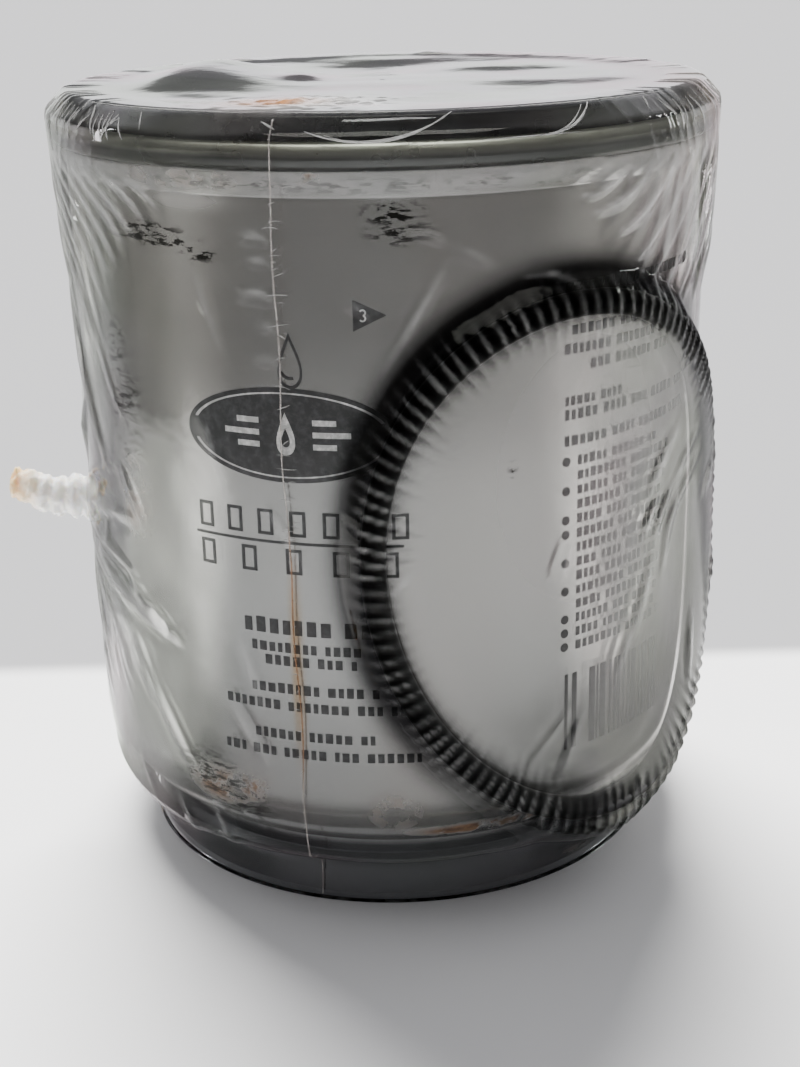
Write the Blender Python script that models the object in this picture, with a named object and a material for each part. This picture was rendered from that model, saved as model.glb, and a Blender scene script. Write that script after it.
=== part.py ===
"""Spin-on diesel fuel filter with a water-bowl port, still in its clear shrink film.

Metres, +Z up. The origin is on the can's axis, on the surface that the filter stands on.
The threaded end is up, the bowl port is down, and the printed front of the can faces -Y.
"""

import math

import bmesh
import bpy
from mathutils import Vector

# Driving dimensions
GAP = 0.0003                 # clearance between pieces that touch
CAN_R = 0.0540               # outside radius of the can's straight wall
CAN_SHEET = 0.0006
COLLAR_R = 0.0465            # outside radius of the bowl collar at the foot
COLLAR_TOP = 0.0110
SHOULDER_R = 0.0130          # radius of the rounded shoulder above the collar
SHOULDER_TOP = 0.0240
RIM_R = 0.0562               # outside radius of the double seam
RIM_TOP = 0.1291
RIM_BOTTOM = 0.1253
LID_SHEET = 0.0005
GASKET_OUTER_R = 0.0537
GASKET_INNER_R = 0.0484
GASKET_TOP = 0.1327
GASKET_BOTTOM = 0.1252
PLATE_R = 0.0473
PLATE_TOP = 0.1271
PLATE_THICK = 0.0045
STUD_BORE_R = 0.0152         # core of an M32 x 1.5 thread
HUB_END = 0.1040
HUB_STEP = 0.1143            # the element's seal stops against this shoulder
INLET_COUNT = 8
INLET_R = 0.0045
INLET_PITCH_R = 0.0285
PORT_BORE_R = 0.0410         # core of the bowl thread
PORT_LEDGE_R = 0.0340
PORT_RING_TOP = 0.0120
ELEMENT_TOP = 0.1140         # mid-plane of the upper end cap
ELEMENT_BOTTOM = 0.0276      # mid-plane of the lower end cap
CAP_R = 0.0470
PLEAT_OUTER_R = 0.0460
PLEAT_INNER_R = 0.0270
PLEAT_COUNT = 32
PAPER = 0.0007
TUBE_R = 0.0264
SPRING_R = 0.0375
SPRING_WIRE_R = 0.0012
FILM = 0.0003
SEAL_SECTION_R = 0.0020
SEAL_AZIMUTH = math.radians(36.0)
SEAL_HEIGHT = 0.0605
SEAL_SEMI_LONG = 0.0443
SEAL_SEMI_SHORT = 0.0375
SEAL_TILT = math.radians(-67.0)
SEAM_AZIMUTH = math.radians(-17.0)
TAIL_AZIMUTH = math.radians(-86.0)
TAIL_HEIGHT = 0.0600
TAIL_LENGTH = 0.0145

SEGMENTS = 40
FINE_SEGMENTS = 30           # for the smaller turned pieces inside
SHARP = math.radians(35.0)


def clear_scene():
    for obj in list(bpy.data.objects):
        bpy.data.objects.remove(obj, do_unlink=True)


def material(name, colour, roughness, metallic=0.0, alpha=1.0):
    made = bpy.data.materials.new(name)
    made.use_nodes = True
    shader = made.node_tree.nodes["Principled BSDF"]
    shader.inputs["Base Color"].default_value = (*colour, 1.0)
    shader.inputs["Roughness"].default_value = roughness
    shader.inputs["Metallic"].default_value = metallic
    shader.inputs["Alpha"].default_value = alpha
    made.diffuse_color = (*colour, alpha)
    return made


def place(name, data, finish, parent=None):
    obj = bpy.data.objects.new(name, data)
    bpy.context.scene.collection.objects.link(obj)
    obj.parent = parent
    if finish is not None:
        data.materials.append(finish)
    return obj


def smooth(mesh):
    mesh.shade_smooth()
    mesh.set_sharp_from_angle(angle=SHARP)


def mesh_from(name, points, faces=(), edges=()):
    mesh = bpy.data.meshes.new(name)
    mesh.from_pydata([tuple(p) for p in points], list(edges), list(faces))
    return mesh


def screw(obj, segments, on_axis):
    turn = obj.modifiers.new("Turn", "SCREW")
    turn.axis = "Z"
    turn.steps = segments
    turn.render_steps = segments
    turn.use_smooth_shade = True
    turn.use_merge_vertices = on_axis
    turn.merge_threshold = 0.00001


def turned(name, outline, finish, segments=SEGMENTS, parent=None):
    """A ring whose section is the closed outline of (radius, height), listed down its outer side first."""
    points = [(r, 0.0, z) for r, z in outline]
    edges = [(i, (i + 1) % len(points)) for i in range(len(points))]
    obj = place(name, mesh_from(name, points, edges=edges), finish, parent)
    screw(obj, segments, on_axis=False)
    return obj


def spun_sheet(name, middle, thickness, finish, segments=SEGMENTS, parent=None):
    """A thin turned sheet. middle is the open line of (radius, height) half-way through its thickness."""
    points = [(r, 0.0, z) for r, z in middle]
    edges = [(i, i + 1) for i in range(len(points) - 1)]
    obj = place(name, mesh_from(name, points, edges=edges), finish, parent)
    screw(obj, segments, on_axis=min(r for r, _ in middle) == 0.0)
    wall = obj.modifiers.new("Sheet", "SOLIDIFY")
    wall.thickness = thickness
    wall.offset = 0.0
    wall.use_even_offset = True
    return obj


def arc(centre, radius, start_deg, end_deg, steps):
    """Points of (radius, height) along an arc; 0 degrees points outward and 90 degrees up."""
    angles = [math.radians(start_deg + (end_deg - start_deg) * i / steps) for i in range(steps + 1)]
    return [(centre[0] + radius * math.cos(a), centre[1] + radius * math.sin(a)) for a in angles]


def around(azimuth, radius, height):
    """A point at this azimuth, measured from the printed front at -Y round towards +X."""
    return Vector((radius * math.sin(azimuth), -radius * math.cos(azimuth), height))


def cutters(name, places, radius, depth, sides):
    """One hidden object holding a closed cylinder at each (centre, direction)."""
    bm = bmesh.new()
    for centre, direction in places:
        turn = Vector(direction).to_track_quat("Z", "Y").to_matrix().to_4x4()
        turn.translation = centre
        bmesh.ops.create_cone(bm, cap_ends=True, segments=sides, radius1=radius, radius2=radius,
                              depth=depth, matrix=turn)
    mesh = bpy.data.meshes.new(name)
    bm.to_mesh(mesh)
    bm.free()
    obj = place(name, mesh, None)
    obj.hide_render = True
    obj.display_type = "WIRE"
    return obj


def cut(obj, cutter):
    hole = obj.modifiers.new("Holes", "BOOLEAN")
    hole.operation = "DIFFERENCE"
    hole.solver = "EXACT"
    hole.object = cutter


def smooth_step(value):
    value = min(max(value, 0.0), 1.0)
    return value * value * (3.0 - 2.0 * value)


# ---------------------------------------------------------------- canister

def can_shell(finish):
    """Deep-drawn can: flared into the seam at the top, drawn in to the bowl collar at the foot."""
    half = CAN_SHEET / 2
    flare_r = RIM_R - 0.00085 - half
    centre = (CAN_R - SHOULDER_R, SHOULDER_TOP)
    middle = [
        (flare_r, RIM_TOP - 0.0009),
        (flare_r, RIM_BOTTOM - 0.0010),
        (CAN_R - half, RIM_BOTTOM - 0.0035),
    ]
    middle += arc(centre, SHOULDER_R - half, 0.0, -58.0, 5)
    middle += [
        (COLLAR_R + 0.0002 - half, COLLAR_TOP + 0.0006),
        (COLLAR_R - half, COLLAR_TOP - 0.0010),
        (COLLAR_R - half, 0.0006),
    ]
    return spun_sheet("can_shell", middle, CAN_SHEET, finish)


def seam_lid(finish):
    """Pressed lid: folded over the can's edge at the rim, with the gasket's channel inside it."""
    half = LID_SHEET / 2
    channel_outer = GASKET_OUTER_R + GAP + half
    channel_inner = GASKET_INNER_R - GAP - half
    channel_floor = GASKET_BOTTOM - GAP - half
    fold_top = RIM_TOP - half
    inner_plane = PLATE_TOP + GAP + half
    middle = [
        (RIM_R - half, RIM_BOTTOM),
        (RIM_R - half, fold_top - 0.0004),
        (RIM_R - half - 0.0004, fold_top),
        (channel_outer, fold_top),
        (channel_outer, channel_floor),
        (channel_inner, channel_floor),
        (channel_inner, inner_plane),
        (0.0370, inner_plane),
    ]
    return spun_sheet("seam_lid", middle, LID_SHEET, finish)


def thread_plate(finish):
    """Thick steel plate with the threaded hub in the middle and a ring of inlet holes."""
    bottom = PLATE_TOP - PLATE_THICK
    outline = [
        (PLATE_R, PLATE_TOP), (PLATE_R, bottom),
        (0.0195, bottom), (0.0195, HUB_STEP), (0.0180, HUB_STEP), (0.0180, HUB_END),
        (STUD_BORE_R, HUB_END), (STUD_BORE_R, PLATE_TOP - 0.0010), (STUD_BORE_R + 0.0010, PLATE_TOP),
    ]
    plate = turned("thread_plate", outline, finish)
    places = []
    for i in range(INLET_COUNT):
        centre = around(math.tau * (i + 0.5) / INLET_COUNT, INLET_PITCH_R, PLATE_TOP - PLATE_THICK / 2)
        places.append((centre, (0.0, 0.0, 1.0)))
    cut(plate, cutters("inlet_cutters", places, INLET_R, PLATE_THICK * 3, 12))
    return plate


def top_gasket(finish):
    edge = 0.0006
    outline = [
        (GASKET_OUTER_R - edge, GASKET_TOP), (GASKET_OUTER_R, GASKET_TOP - edge),
        (GASKET_OUTER_R, GASKET_BOTTOM), (GASKET_INNER_R, GASKET_BOTTOM),
        (GASKET_INNER_R, GASKET_TOP - edge), (GASKET_INNER_R + edge, GASKET_TOP),
    ]
    return turned("top_gasket", outline, finish)


def bowl_thread_ring(finish):
    """Ring fixed inside the collar: its bore carries the bowl's thread, and its ledge the spring."""
    outer = COLLAR_R - CAN_SHEET - GAP
    bottom = 0.0010
    outline = [
        (outer, PORT_RING_TOP), (outer, bottom),
        (PORT_BORE_R + 0.0010, bottom), (PORT_BORE_R, bottom + 0.0010),
        (PORT_BORE_R, PORT_RING_TOP - 0.0020), (PORT_LEDGE_R, PORT_RING_TOP - 0.0020),
        (PORT_LEDGE_R, PORT_RING_TOP),
    ]
    return turned("bowl_thread_ring", outline, finish)


# ---------------------------------------------------------------- filter element

def element_parts(finishes):
    """Everything that floats on the spring, under one empty on the can's axis."""
    axis = place("element_axis", None, None)
    cap_half = LID_SHEET / 2
    cup_r = 0.0252
    cup_floor = ELEMENT_TOP - 0.0076

    top_middle = [
        (CAP_R, ELEMENT_TOP - 0.0065), (CAP_R, ELEMENT_TOP - 0.0008), (CAP_R - 0.0008, ELEMENT_TOP),
        (cup_r + 0.0008, ELEMENT_TOP), (cup_r, ELEMENT_TOP - 0.0008),
        (cup_r, cup_floor), (0.0205, cup_floor),
    ]
    spun_sheet("top_end_cap", top_middle, LID_SHEET, finishes["cap"], FINE_SEGMENTS, axis)

    seal_bottom = cup_floor + cap_half + GAP
    seal_outer = cup_r - cap_half - GAP
    seal_top = HUB_STEP - GAP
    seal = [
        (seal_outer, seal_top - 0.0008), (seal_outer, seal_bottom), (0.0190, seal_bottom),
        (0.0183, seal_bottom + 0.0010), (0.0183, seal_top), (seal_outer - 0.0008, seal_top),
    ]
    turned("element_grommet", seal, finishes["rubber"], FINE_SEGMENTS, axis)

    bottom_middle = [
        (CAP_R, ELEMENT_BOTTOM + 0.0065), (CAP_R, ELEMENT_BOTTOM + 0.0008),
        (CAP_R - 0.0008, ELEMENT_BOTTOM), (0.0250, ELEMENT_BOTTOM),
        (0.0240, ELEMENT_BOTTOM + 0.0010), (0.0, ELEMENT_BOTTOM + 0.0010),
    ]
    spun_sheet("bottom_end_cap", bottom_middle, LID_SHEET, finishes["cap"], FINE_SEGMENTS, axis)

    glue_r = CAP_R - cap_half - 3 * GAP      # clears the cap's chamfered corner
    glue_inner = TUBE_R + GAP
    glue_depth = 0.0016
    top_glue = ELEMENT_TOP - cap_half - GAP
    bottom_glue = ELEMENT_BOTTOM + cap_half + GAP
    flat_ring("top_potting", glue_r, glue_inner, top_glue - glue_depth, top_glue, finishes["glue"], axis)
    flat_ring("bottom_potting", glue_r, glue_inner, bottom_glue, bottom_glue + glue_depth,
              finishes["glue"], axis)

    pleat_bottom = bottom_glue + glue_depth + GAP
    pleat_top = top_glue - glue_depth - GAP
    pleated_media(pleat_bottom, pleat_top, finishes["paper"], axis)
    for name, height in (("bead_band_lower", 0.0560), ("bead_band_upper", 0.0880)):
        flat_ring(name, PLEAT_OUTER_R + 0.0011, PLEAT_OUTER_R + GAP, height - 0.0012, height + 0.0012,
                  finishes["glue"], axis)
    centre_tube(ELEMENT_BOTTOM + 0.0016, pleat_top, finishes["tube"], axis)
    return axis


def flat_ring(name, outer, inner, bottom, top, finish, parent=None):
    outline = [(outer, top), (outer, bottom), (inner, bottom), (inner, top)]
    return turned(name, outline, finish, FINE_SEGMENTS, parent)


def pleated_media(bottom, top, finish, parent):
    """Paper folded into pleats all round: a closed zigzag band, drawn once and extruded upwards."""
    tip_half = 0.0010 / PLEAT_OUTER_R
    tip_gap = tip_half - PAPER / PLEAT_OUTER_R
    valley_gap = 0.00035 / PLEAT_INNER_R
    valley_half = valley_gap + PAPER / PLEAT_INNER_R
    outside, inside = [], []
    for i in range(PLEAT_COUNT):
        tip = math.tau * i / PLEAT_COUNT
        valley = tip + math.pi / PLEAT_COUNT
        outside += [(PLEAT_OUTER_R, tip - tip_half), (PLEAT_OUTER_R, tip + tip_half),
                    (PLEAT_INNER_R + PAPER, valley - valley_gap), (PLEAT_INNER_R + PAPER, valley + valley_gap)]
        inside += [(PLEAT_OUTER_R - PAPER, tip - tip_gap), (PLEAT_OUTER_R - PAPER, tip + tip_gap),
                   (PLEAT_INNER_R, valley - valley_half), (PLEAT_INNER_R, valley + valley_half)]
    bm = bmesh.new()
    loops = [[bm.verts.new(around(a, r, bottom)) for r, a in side] for side in (outside, inside)]
    count = len(outside)
    for i in range(count):
        j = (i + 1) % count
        bm.faces.new((loops[0][i], loops[0][j], loops[1][j], loops[1][i]))
    grown = bmesh.ops.extrude_face_region(bm, geom=bm.faces[:], use_keep_orig=True)
    raised = [item for item in grown["geom"] if isinstance(item, bmesh.types.BMVert)]
    bmesh.ops.translate(bm, verts=raised, vec=(0.0, 0.0, top - bottom))
    bmesh.ops.recalc_face_normals(bm, faces=bm.faces[:])
    mesh = bpy.data.meshes.new("pleated_media")
    bm.to_mesh(mesh)
    bm.free()
    place("pleated_media", mesh, finish, parent)


def centre_tube(bottom, top, finish, parent):
    wall = 0.0005
    tube = turned("centre_tube", [(TUBE_R, top), (TUBE_R, bottom), (TUBE_R - wall, bottom),
                                  (TUBE_R - wall, top)], finish, FINE_SEGMENTS, parent)
    rows, columns = 4, 5
    places = []
    for row in range(rows):
        height = bottom + (top - bottom) * (row + 0.5) / rows
        for column in range(columns):
            angle = math.tau * (column + 0.5 * (row % 2)) / columns + math.radians(5.0)
            places.append((around(angle, TUBE_R, height), around(angle, 1.0, 0.0)))
    cut(tube, cutters("tube_cutters", places, 0.0032, 0.0060, 8))


def element_spring(finish):
    """Wide coil spring between the port ring's seat and the lower end cap."""
    low = PORT_RING_TOP + 2 * GAP + 0.0006 + GAP + SPRING_WIRE_R
    high = ELEMENT_BOTTOM - LID_SHEET / 2 - GAP - SPRING_WIRE_R
    turns, per_turn = 3.2, 18
    count = int(turns * per_turn)
    flat = 0.4 / turns
    points = []
    for i in range(count + 1):
        share = i / count
        rise = min(max((share - flat) / (1.0 - 2.0 * flat), 0.0), 1.0)
        points.append(around(math.tau * turns * share, SPRING_R, low + (high - low) * rise))
    return bent_wire("element_spring", points, SPRING_WIRE_R, 1, finish)


def bent_wire(name, points, radius, resolution, finish, cyclic=False, radii=None):
    curve = bpy.data.curves.new(name, "CURVE")
    curve.dimensions = "3D"
    curve.bevel_depth = radius
    curve.bevel_resolution = resolution
    curve.use_fill_caps = not cyclic
    spline = curve.splines.new("POLY")
    spline.points.add(len(points) - 1)
    for i, point in enumerate(points):
        spline.points[i].co = (*point, 1.0)
        spline.points[i].radius = radii[i] if radii else 1.0
    spline.use_cyclic_u = cyclic
    return place(name, curve, finish)


# ---------------------------------------------------------------- spare seal and shrink film

def bowl_seal_ring(finish):
    """Spare seal for the bowl, held against the can by the film, so it is an ellipse bent round the wall."""
    radius = CAN_R + GAP + SEAL_SECTION_R
    count = 56
    points = []
    for i in range(count):
        angle = math.tau * i / count
        long, short = SEAL_SEMI_LONG * math.cos(angle), SEAL_SEMI_SHORT * math.sin(angle)
        across = long * math.cos(SEAL_TILT) - short * math.sin(SEAL_TILT)
        up = long * math.sin(SEAL_TILT) + short * math.cos(SEAL_TILT)
        points.append(around(SEAL_AZIMUTH + across / radius, radius, SEAL_HEIGHT + up))
    return bent_wire("bowl_seal_ring", points, SEAL_SECTION_R, 2, finish, cyclic=True)


def film_line():
    """The film's inner face away from the spare seal, as (radius, height) from the rim down."""
    return [
        (0.0543, 0.1324), (0.0568, 0.1296), (0.0568, 0.1240), (0.0555, 0.1130), (0.0549, 0.1030),
        (0.0547, 0.0920), (0.0547, 0.0800), (0.0547, 0.0680), (0.0547, 0.0560), (0.0547, 0.0440),
        (0.0547, 0.0330), (0.0547, 0.0240), (0.0542, 0.0195), (0.0524, 0.0155), (0.0488, 0.0108),
        (0.0470, 0.0009),
    ]


def film_radius(azimuth, height, plain):
    """The film stands out over the spare seal and everything inside it."""
    radius = CAN_R + GAP + SEAL_SECTION_R
    turn = (azimuth - SEAL_AZIMUTH + math.pi) % math.tau - math.pi
    across, up = turn * radius, height - SEAL_HEIGHT
    long = across * math.cos(SEAL_TILT) + up * math.sin(SEAL_TILT)
    short = -across * math.sin(SEAL_TILT) + up * math.cos(SEAL_TILT)
    reach = math.hypot(long / (SEAL_SEMI_LONG + SEAL_SECTION_R), short / (SEAL_SEMI_SHORT + SEAL_SECTION_R))
    proud = CAN_R + GAP + 2 * SEAL_SECTION_R + GAP
    lift = 1.0 - smooth_step((reach - 1.13) / 0.26)
    clear_of_collar = smooth_step((height - 0.0090) / 0.0060)
    return plain + max(proud - plain, 0.0) * lift * clear_of_collar


def film_columns():
    """Azimuths of the film's grid: closer together over the spare seal."""
    angles = []
    turn = math.radians(-24.0)
    stop = turn + math.tau - math.radians(3.0)
    while turn < stop:
        angles.append(turn)
        over_seal = turn < math.radians(96.0)
        turn += math.radians(6.0 if over_seal else 12.0)
    return angles


def film_sleeve(finish):
    """The film round the can's side, as a thin shell between two grids."""
    columns, line = film_columns(), film_line()
    bm = bmesh.new()
    inner, outer = [], []
    for plain, height in line:
        radii = [film_radius(a, height, plain) for a in columns]
        inner.append([bm.verts.new(around(a, r, height)) for a, r in zip(columns, radii)])
        outer.append([bm.verts.new(around(a, r + FILM, height)) for a, r in zip(columns, radii)])
    count = len(columns)
    for i in range(count):
        j = (i + 1) % count
        for row in range(len(line) - 1):
            bm.faces.new((outer[row][i], outer[row + 1][i], outer[row + 1][j], outer[row][j]))
            bm.faces.new((inner[row][i], inner[row][j], inner[row + 1][j], inner[row + 1][i]))
        bm.faces.new((outer[0][i], outer[0][j], inner[0][j], inner[0][i]))
        bm.faces.new((outer[-1][i], inner[-1][i], inner[-1][j], outer[-1][j]))
    bmesh.ops.recalc_face_normals(bm, faces=bm.faces[:])
    mesh = bpy.data.meshes.new("film_sleeve")
    bm.to_mesh(mesh)
    bm.free()
    smooth(mesh)
    return place("film_sleeve", mesh, finish)


def film_top(finish):
    """The film stretched flat over the gasket and sagging into the recess inside it."""
    flat = GASKET_TOP + GAP + FILM / 2
    middle = [(GASKET_OUTER_R, flat), (GASKET_INNER_R, flat), (0.0420, flat - 0.0012), (0.0, flat - 0.0024)]
    return spun_sheet("film_top", middle, FILM, finish)


def film_underside(finish):
    """The film drawn flat across the foot; the filter stands on it."""
    middle = [(COLLAR_R + 0.0004, FILM / 2), (0.0, FILM / 2)]
    return spun_sheet("film_underside", middle, FILM, finish)


def film_seam(finish):
    """The film's trimmed and welded edge, a thin bead down the front of the sleeve."""
    half_turn = 0.0004 / CAN_R
    bm = bmesh.new()
    rows = []
    for plain, height in film_line()[1:]:
        radius = film_radius(SEAM_AZIMUTH, height, plain) + FILM + 2 * GAP
        rows.append([
            bm.verts.new(around(SEAM_AZIMUTH + side * half_turn, radius + out, height))
            for side, out in ((-1, 0.0), (1, 0.0), (1, 0.0004), (-1, 0.0004))
        ])
    for upper, lower in zip(rows, rows[1:]):
        for i in range(4):
            j = (i + 1) % 4
            bm.faces.new((upper[i], upper[j], lower[j], lower[i]))
    bm.faces.new(rows[0])
    bm.faces.new(rows[-1])
    bmesh.ops.recalc_face_normals(bm, faces=bm.faces[:])
    mesh = bpy.data.meshes.new("film_seam")
    bm.to_mesh(mesh)
    bm.free()
    return place("film_seam", mesh, finish)


def film_tail(finish):
    """The gathered end of the film, shrunk into a ribbed stub."""
    base_radius, tip_radius = 0.0040, 0.0030
    start = CAN_R + 0.0005 + FILM + 2 * GAP
    count = 11
    points, radii = [], []
    for i in range(count):
        share = i / (count - 1)
        points.append(around(TAIL_AZIMUTH, start + TAIL_LENGTH * share, TAIL_HEIGHT + 0.0035 * share ** 1.5))
        rib = 0.0003 if i % 2 else 0.0
        radii.append((base_radius + (tip_radius - base_radius) * share + rib) / base_radius)
    return bent_wire("film_tail", points, base_radius, 2, finish, radii=radii)


def main():
    clear_scene()
    paint = material("can_paint", (0.50, 0.50, 0.49), 0.42, 0.25)
    plated = material("plated_steel", (0.42, 0.41, 0.36), 0.35, 0.9)
    steel = material("bare_steel", (0.45, 0.45, 0.46), 0.4, 0.9)
    wire = material("spring_steel", (0.30, 0.30, 0.32), 0.35, 0.9)
    black_rubber = material("black_rubber", (0.015, 0.015, 0.017), 0.35)
    clear = material("shrink_film", (0.86, 0.86, 0.80), 0.12, 0.0, 0.25)
    tail = material("gathered_film", (0.80, 0.74, 0.60), 0.35)
    element = {
        "cap": material("cap_steel", (0.55, 0.55, 0.55), 0.4, 0.8),
        "rubber": black_rubber,
        "glue": material("plastisol", (0.55, 0.20, 0.12), 0.5),
        "paper": material("filter_paper", (0.75, 0.62, 0.36), 0.85),
        "tube": steel,
    }

    can_shell(paint)
    seam_lid(plated)
    thread_plate(steel)
    top_gasket(black_rubber)
    bowl_thread_ring(plated)
    seat_bottom = PORT_RING_TOP + GAP
    flat_ring("spring_seat", 0.0420, 0.0345, seat_bottom, seat_bottom + 0.0006, steel)
    element_spring(wire)
    element_parts(element)
    bowl_seal_ring(black_rubber)
    film_sleeve(clear)
    film_top(clear)
    film_underside(clear)
    film_seam(clear)
    film_tail(tail)


main()
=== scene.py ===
"""Looks for the shrink-wrapped fuel filter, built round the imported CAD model.

Metres, +Z up. An azimuth is measured from the printed front at -Y round towards +X.
"""

import math

import bmesh
import bpy
import numpy as np
from mathutils import Matrix, Vector


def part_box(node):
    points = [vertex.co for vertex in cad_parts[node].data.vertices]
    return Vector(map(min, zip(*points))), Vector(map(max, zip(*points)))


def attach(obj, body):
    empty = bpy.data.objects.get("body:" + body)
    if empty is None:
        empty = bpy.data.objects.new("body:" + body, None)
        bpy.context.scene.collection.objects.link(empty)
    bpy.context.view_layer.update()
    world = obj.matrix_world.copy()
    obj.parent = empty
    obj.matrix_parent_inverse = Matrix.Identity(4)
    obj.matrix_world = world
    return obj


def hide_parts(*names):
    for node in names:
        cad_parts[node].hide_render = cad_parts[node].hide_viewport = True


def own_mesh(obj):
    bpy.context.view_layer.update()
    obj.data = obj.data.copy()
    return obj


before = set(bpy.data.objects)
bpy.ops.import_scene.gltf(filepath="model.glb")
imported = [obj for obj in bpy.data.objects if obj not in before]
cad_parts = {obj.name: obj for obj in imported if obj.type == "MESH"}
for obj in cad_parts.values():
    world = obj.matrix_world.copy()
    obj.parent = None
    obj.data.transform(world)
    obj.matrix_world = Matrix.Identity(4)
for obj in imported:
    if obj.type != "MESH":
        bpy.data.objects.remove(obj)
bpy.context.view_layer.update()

MM = 0.001
GAP = 0.0003

# Driving sizes, taken from the imported CAD parts where they hold them
CAN_R = 0.0540
CAN_SHEET = 0.0006
COLLAR_R = 0.0465
COLLAR_TOP = 0.0110
SHOULDER_R = 0.0130
SHOULDER_TOP = 0.0240
RIM_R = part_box("seam_lid")[1].x
RIM_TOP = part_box("seam_lid")[1].z
RIM_BOTTOM = 0.1253
LID_SHEET = 0.0005
LID_HOLE_R = 0.0370
GASKET_OUTER_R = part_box("top_gasket")[1].x
GASKET_INNER_R = 0.0484
GASKET_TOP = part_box("top_gasket")[1].z
GASKET_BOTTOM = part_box("top_gasket")[0].z
PLATE_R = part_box("thread_plate")[1].x
PLATE_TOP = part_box("thread_plate")[1].z
PLATE_THICK = 0.0045
HUB_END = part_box("thread_plate")[0].z
HUB_STEP = 0.1143
HUB_OUTER_R = 0.0195
HUB_SPIGOT_R = 0.0180
STUD_BORE_R = 0.0152
STUD_PITCH = 0.0015
INLET_COUNT = 8
INLET_R = 0.0045
INLET_PITCH_R = 0.0285
PORT_BORE_R = 0.0410
PORT_PITCH = 0.0020
PORT_LEDGE_R = 0.0340
PORT_RING_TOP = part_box("bowl_thread_ring")[1].z
PORT_RING_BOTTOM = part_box("bowl_thread_ring")[0].z
SPRING_R = 0.0375
SPRING_WIRE_R = 0.0012
SPRING_TURNS = 3.2
SPRING_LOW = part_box("element_spring")[0].z
SPRING_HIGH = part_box("element_spring")[1].z
SEAL_SECTION_R = 0.0020
SEAL_AZIMUTH = math.radians(36.0)
SEAL_HEIGHT = 0.0605
SEAL_SEMI_LONG = 0.0443
SEAL_SEMI_SHORT = 0.0375
SEAL_TILT = math.radians(-67.0)
SEAM_AZIMUTH = math.radians(-17.0)
TAIL_AZIMUTH = math.radians(-86.0)
TAIL_HEIGHT = 0.0600
TAIL_LENGTH = 0.0145
SHARP = math.radians(32.0)

# The view, in metres, degrees and mm of lens
CAMERA_PLACE = (0.0, -0.2985, 0.1594)
CAMERA_TURN = -0.23
CAMERA_DOWN = 20.09
CAMERA_ROLL = -1.33
CAMERA_LENS = 57.36


def around(azimuth, radius, height):
    return Vector((radius * math.sin(azimuth), -radius * math.cos(azimuth), height))


def turned(azimuth, radius, height):
    """Points from arrays of azimuth, radius and height, stacked along the last axis."""
    across = radius * np.sin(azimuth), -radius * np.cos(azimuth)
    return np.stack(np.broadcast_arrays(*across, height), axis=-1)


def turn_from(start, azimuth):
    """The signed turn from start to azimuth, at most half a circle either way."""
    return (azimuth - start + math.pi) % math.tau - math.pi


def ease(value):
    """0 below 0, 1 above 1, and smooth between, for numbers and arrays."""
    value = np.clip(value, 0.0, 1.0)
    return value * value * (3.0 - 2.0 * value)


def bell(across, up=0.0):
    """1 at the middle, falling off smoothly with the distance, in widths, to either side."""
    return np.exp(-(across ** 2 + up ** 2))


def added(name, data):
    obj = bpy.data.objects.new(name, data)
    bpy.context.scene.collection.objects.link(obj)
    return obj


def facing(way):
    return Vector(way).to_track_quat("-Z", "Y").to_euler()


# ---------------------------------------------------------------- materials

def rgba(colour):
    return (*colour, 1.0) if isinstance(colour, tuple) else (colour, colour, colour, 1.0)


class Nodes:
    """A node tree written as calls: a plain value is set on its socket, another node's output is linked."""

    def __init__(self, tree):
        self.tree = tree

    def feed(self, socket, value):
        if isinstance(value, bpy.types.NodeSocket):
            self.tree.links.new(value, socket)
        else:
            socket.default_value = value

    def add(self, kind, inputs=None, **settings):
        node = self.tree.nodes.new("ShaderNode" + kind)
        for key, value in settings.items():
            setattr(node, key, value)
        for key, value in (inputs or {}).items():
            self.feed(node.inputs[key], value)
        return node

    def where(self, space="Object"):
        """The X, Y and Z of these coordinates."""
        return self.add("SeparateXYZ", {0: self.add("TexCoord").outputs[space]}).outputs

    def noise(self, scale, detail=3.0, rough=0.5, stretch=(1.0, 1.0, 1.0)):
        """Noise over object coordinates, stretched along X, Y and Z."""
        where = self.add("TexCoord").outputs["Object"]
        place = self.add("Mapping", {"Vector": where, "Scale": stretch}).outputs["Vector"]
        return self.add("TexNoise", {"Vector": place, "Scale": scale, "Detail": detail,
                                     "Roughness": rough}).outputs["Fac"]

    def ramp(self, value, *stops):
        """Colour or grey that changes with value, through stops of (place, colour)."""
        node = self.add("ValToRGB", {"Fac": value})
        points = node.color_ramp.elements
        while len(points) < len(stops):
            points.new(0.5)
        for point, (where, colour) in zip(points, stops):
            point.position = where
            point.color = rgba(colour)
        return node.outputs["Color"]

    def rise(self, value, low, high, most=1.0, soft=False):
        """0 where value is at low, and most where it is at high."""
        kind = "SMOOTHSTEP" if soft else "LINEAR"
        return self.add("MapRange", {0: value, 1: low, 2: high, 4: most}, interpolation_type=kind).outputs[0]

    def math(self, operation, first, second=0.5):
        return self.add("Math", {0: first, 1: second}, operation=operation).outputs[0]

    def times(self, first, second, clamp=False):
        return self.add("Math", {0: first, 1: second}, operation="MULTIPLY", use_clamp=clamp).outputs[0]

    def mix(self, share, first, second):
        node = self.add("Mix", data_type="RGBA")
        self.feed(node.inputs[0], share)
        for index, value in ((6, first), (7, second)):
            self.feed(node.inputs[index], value if isinstance(value, bpy.types.NodeSocket) else rgba(value))
        return node.outputs[2]

    def bump(self, height, distance, strength=1.0):
        inputs = {"Height": height, "Distance": distance, "Strength": strength}
        return self.add("Bump", inputs).outputs["Normal"]


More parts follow.
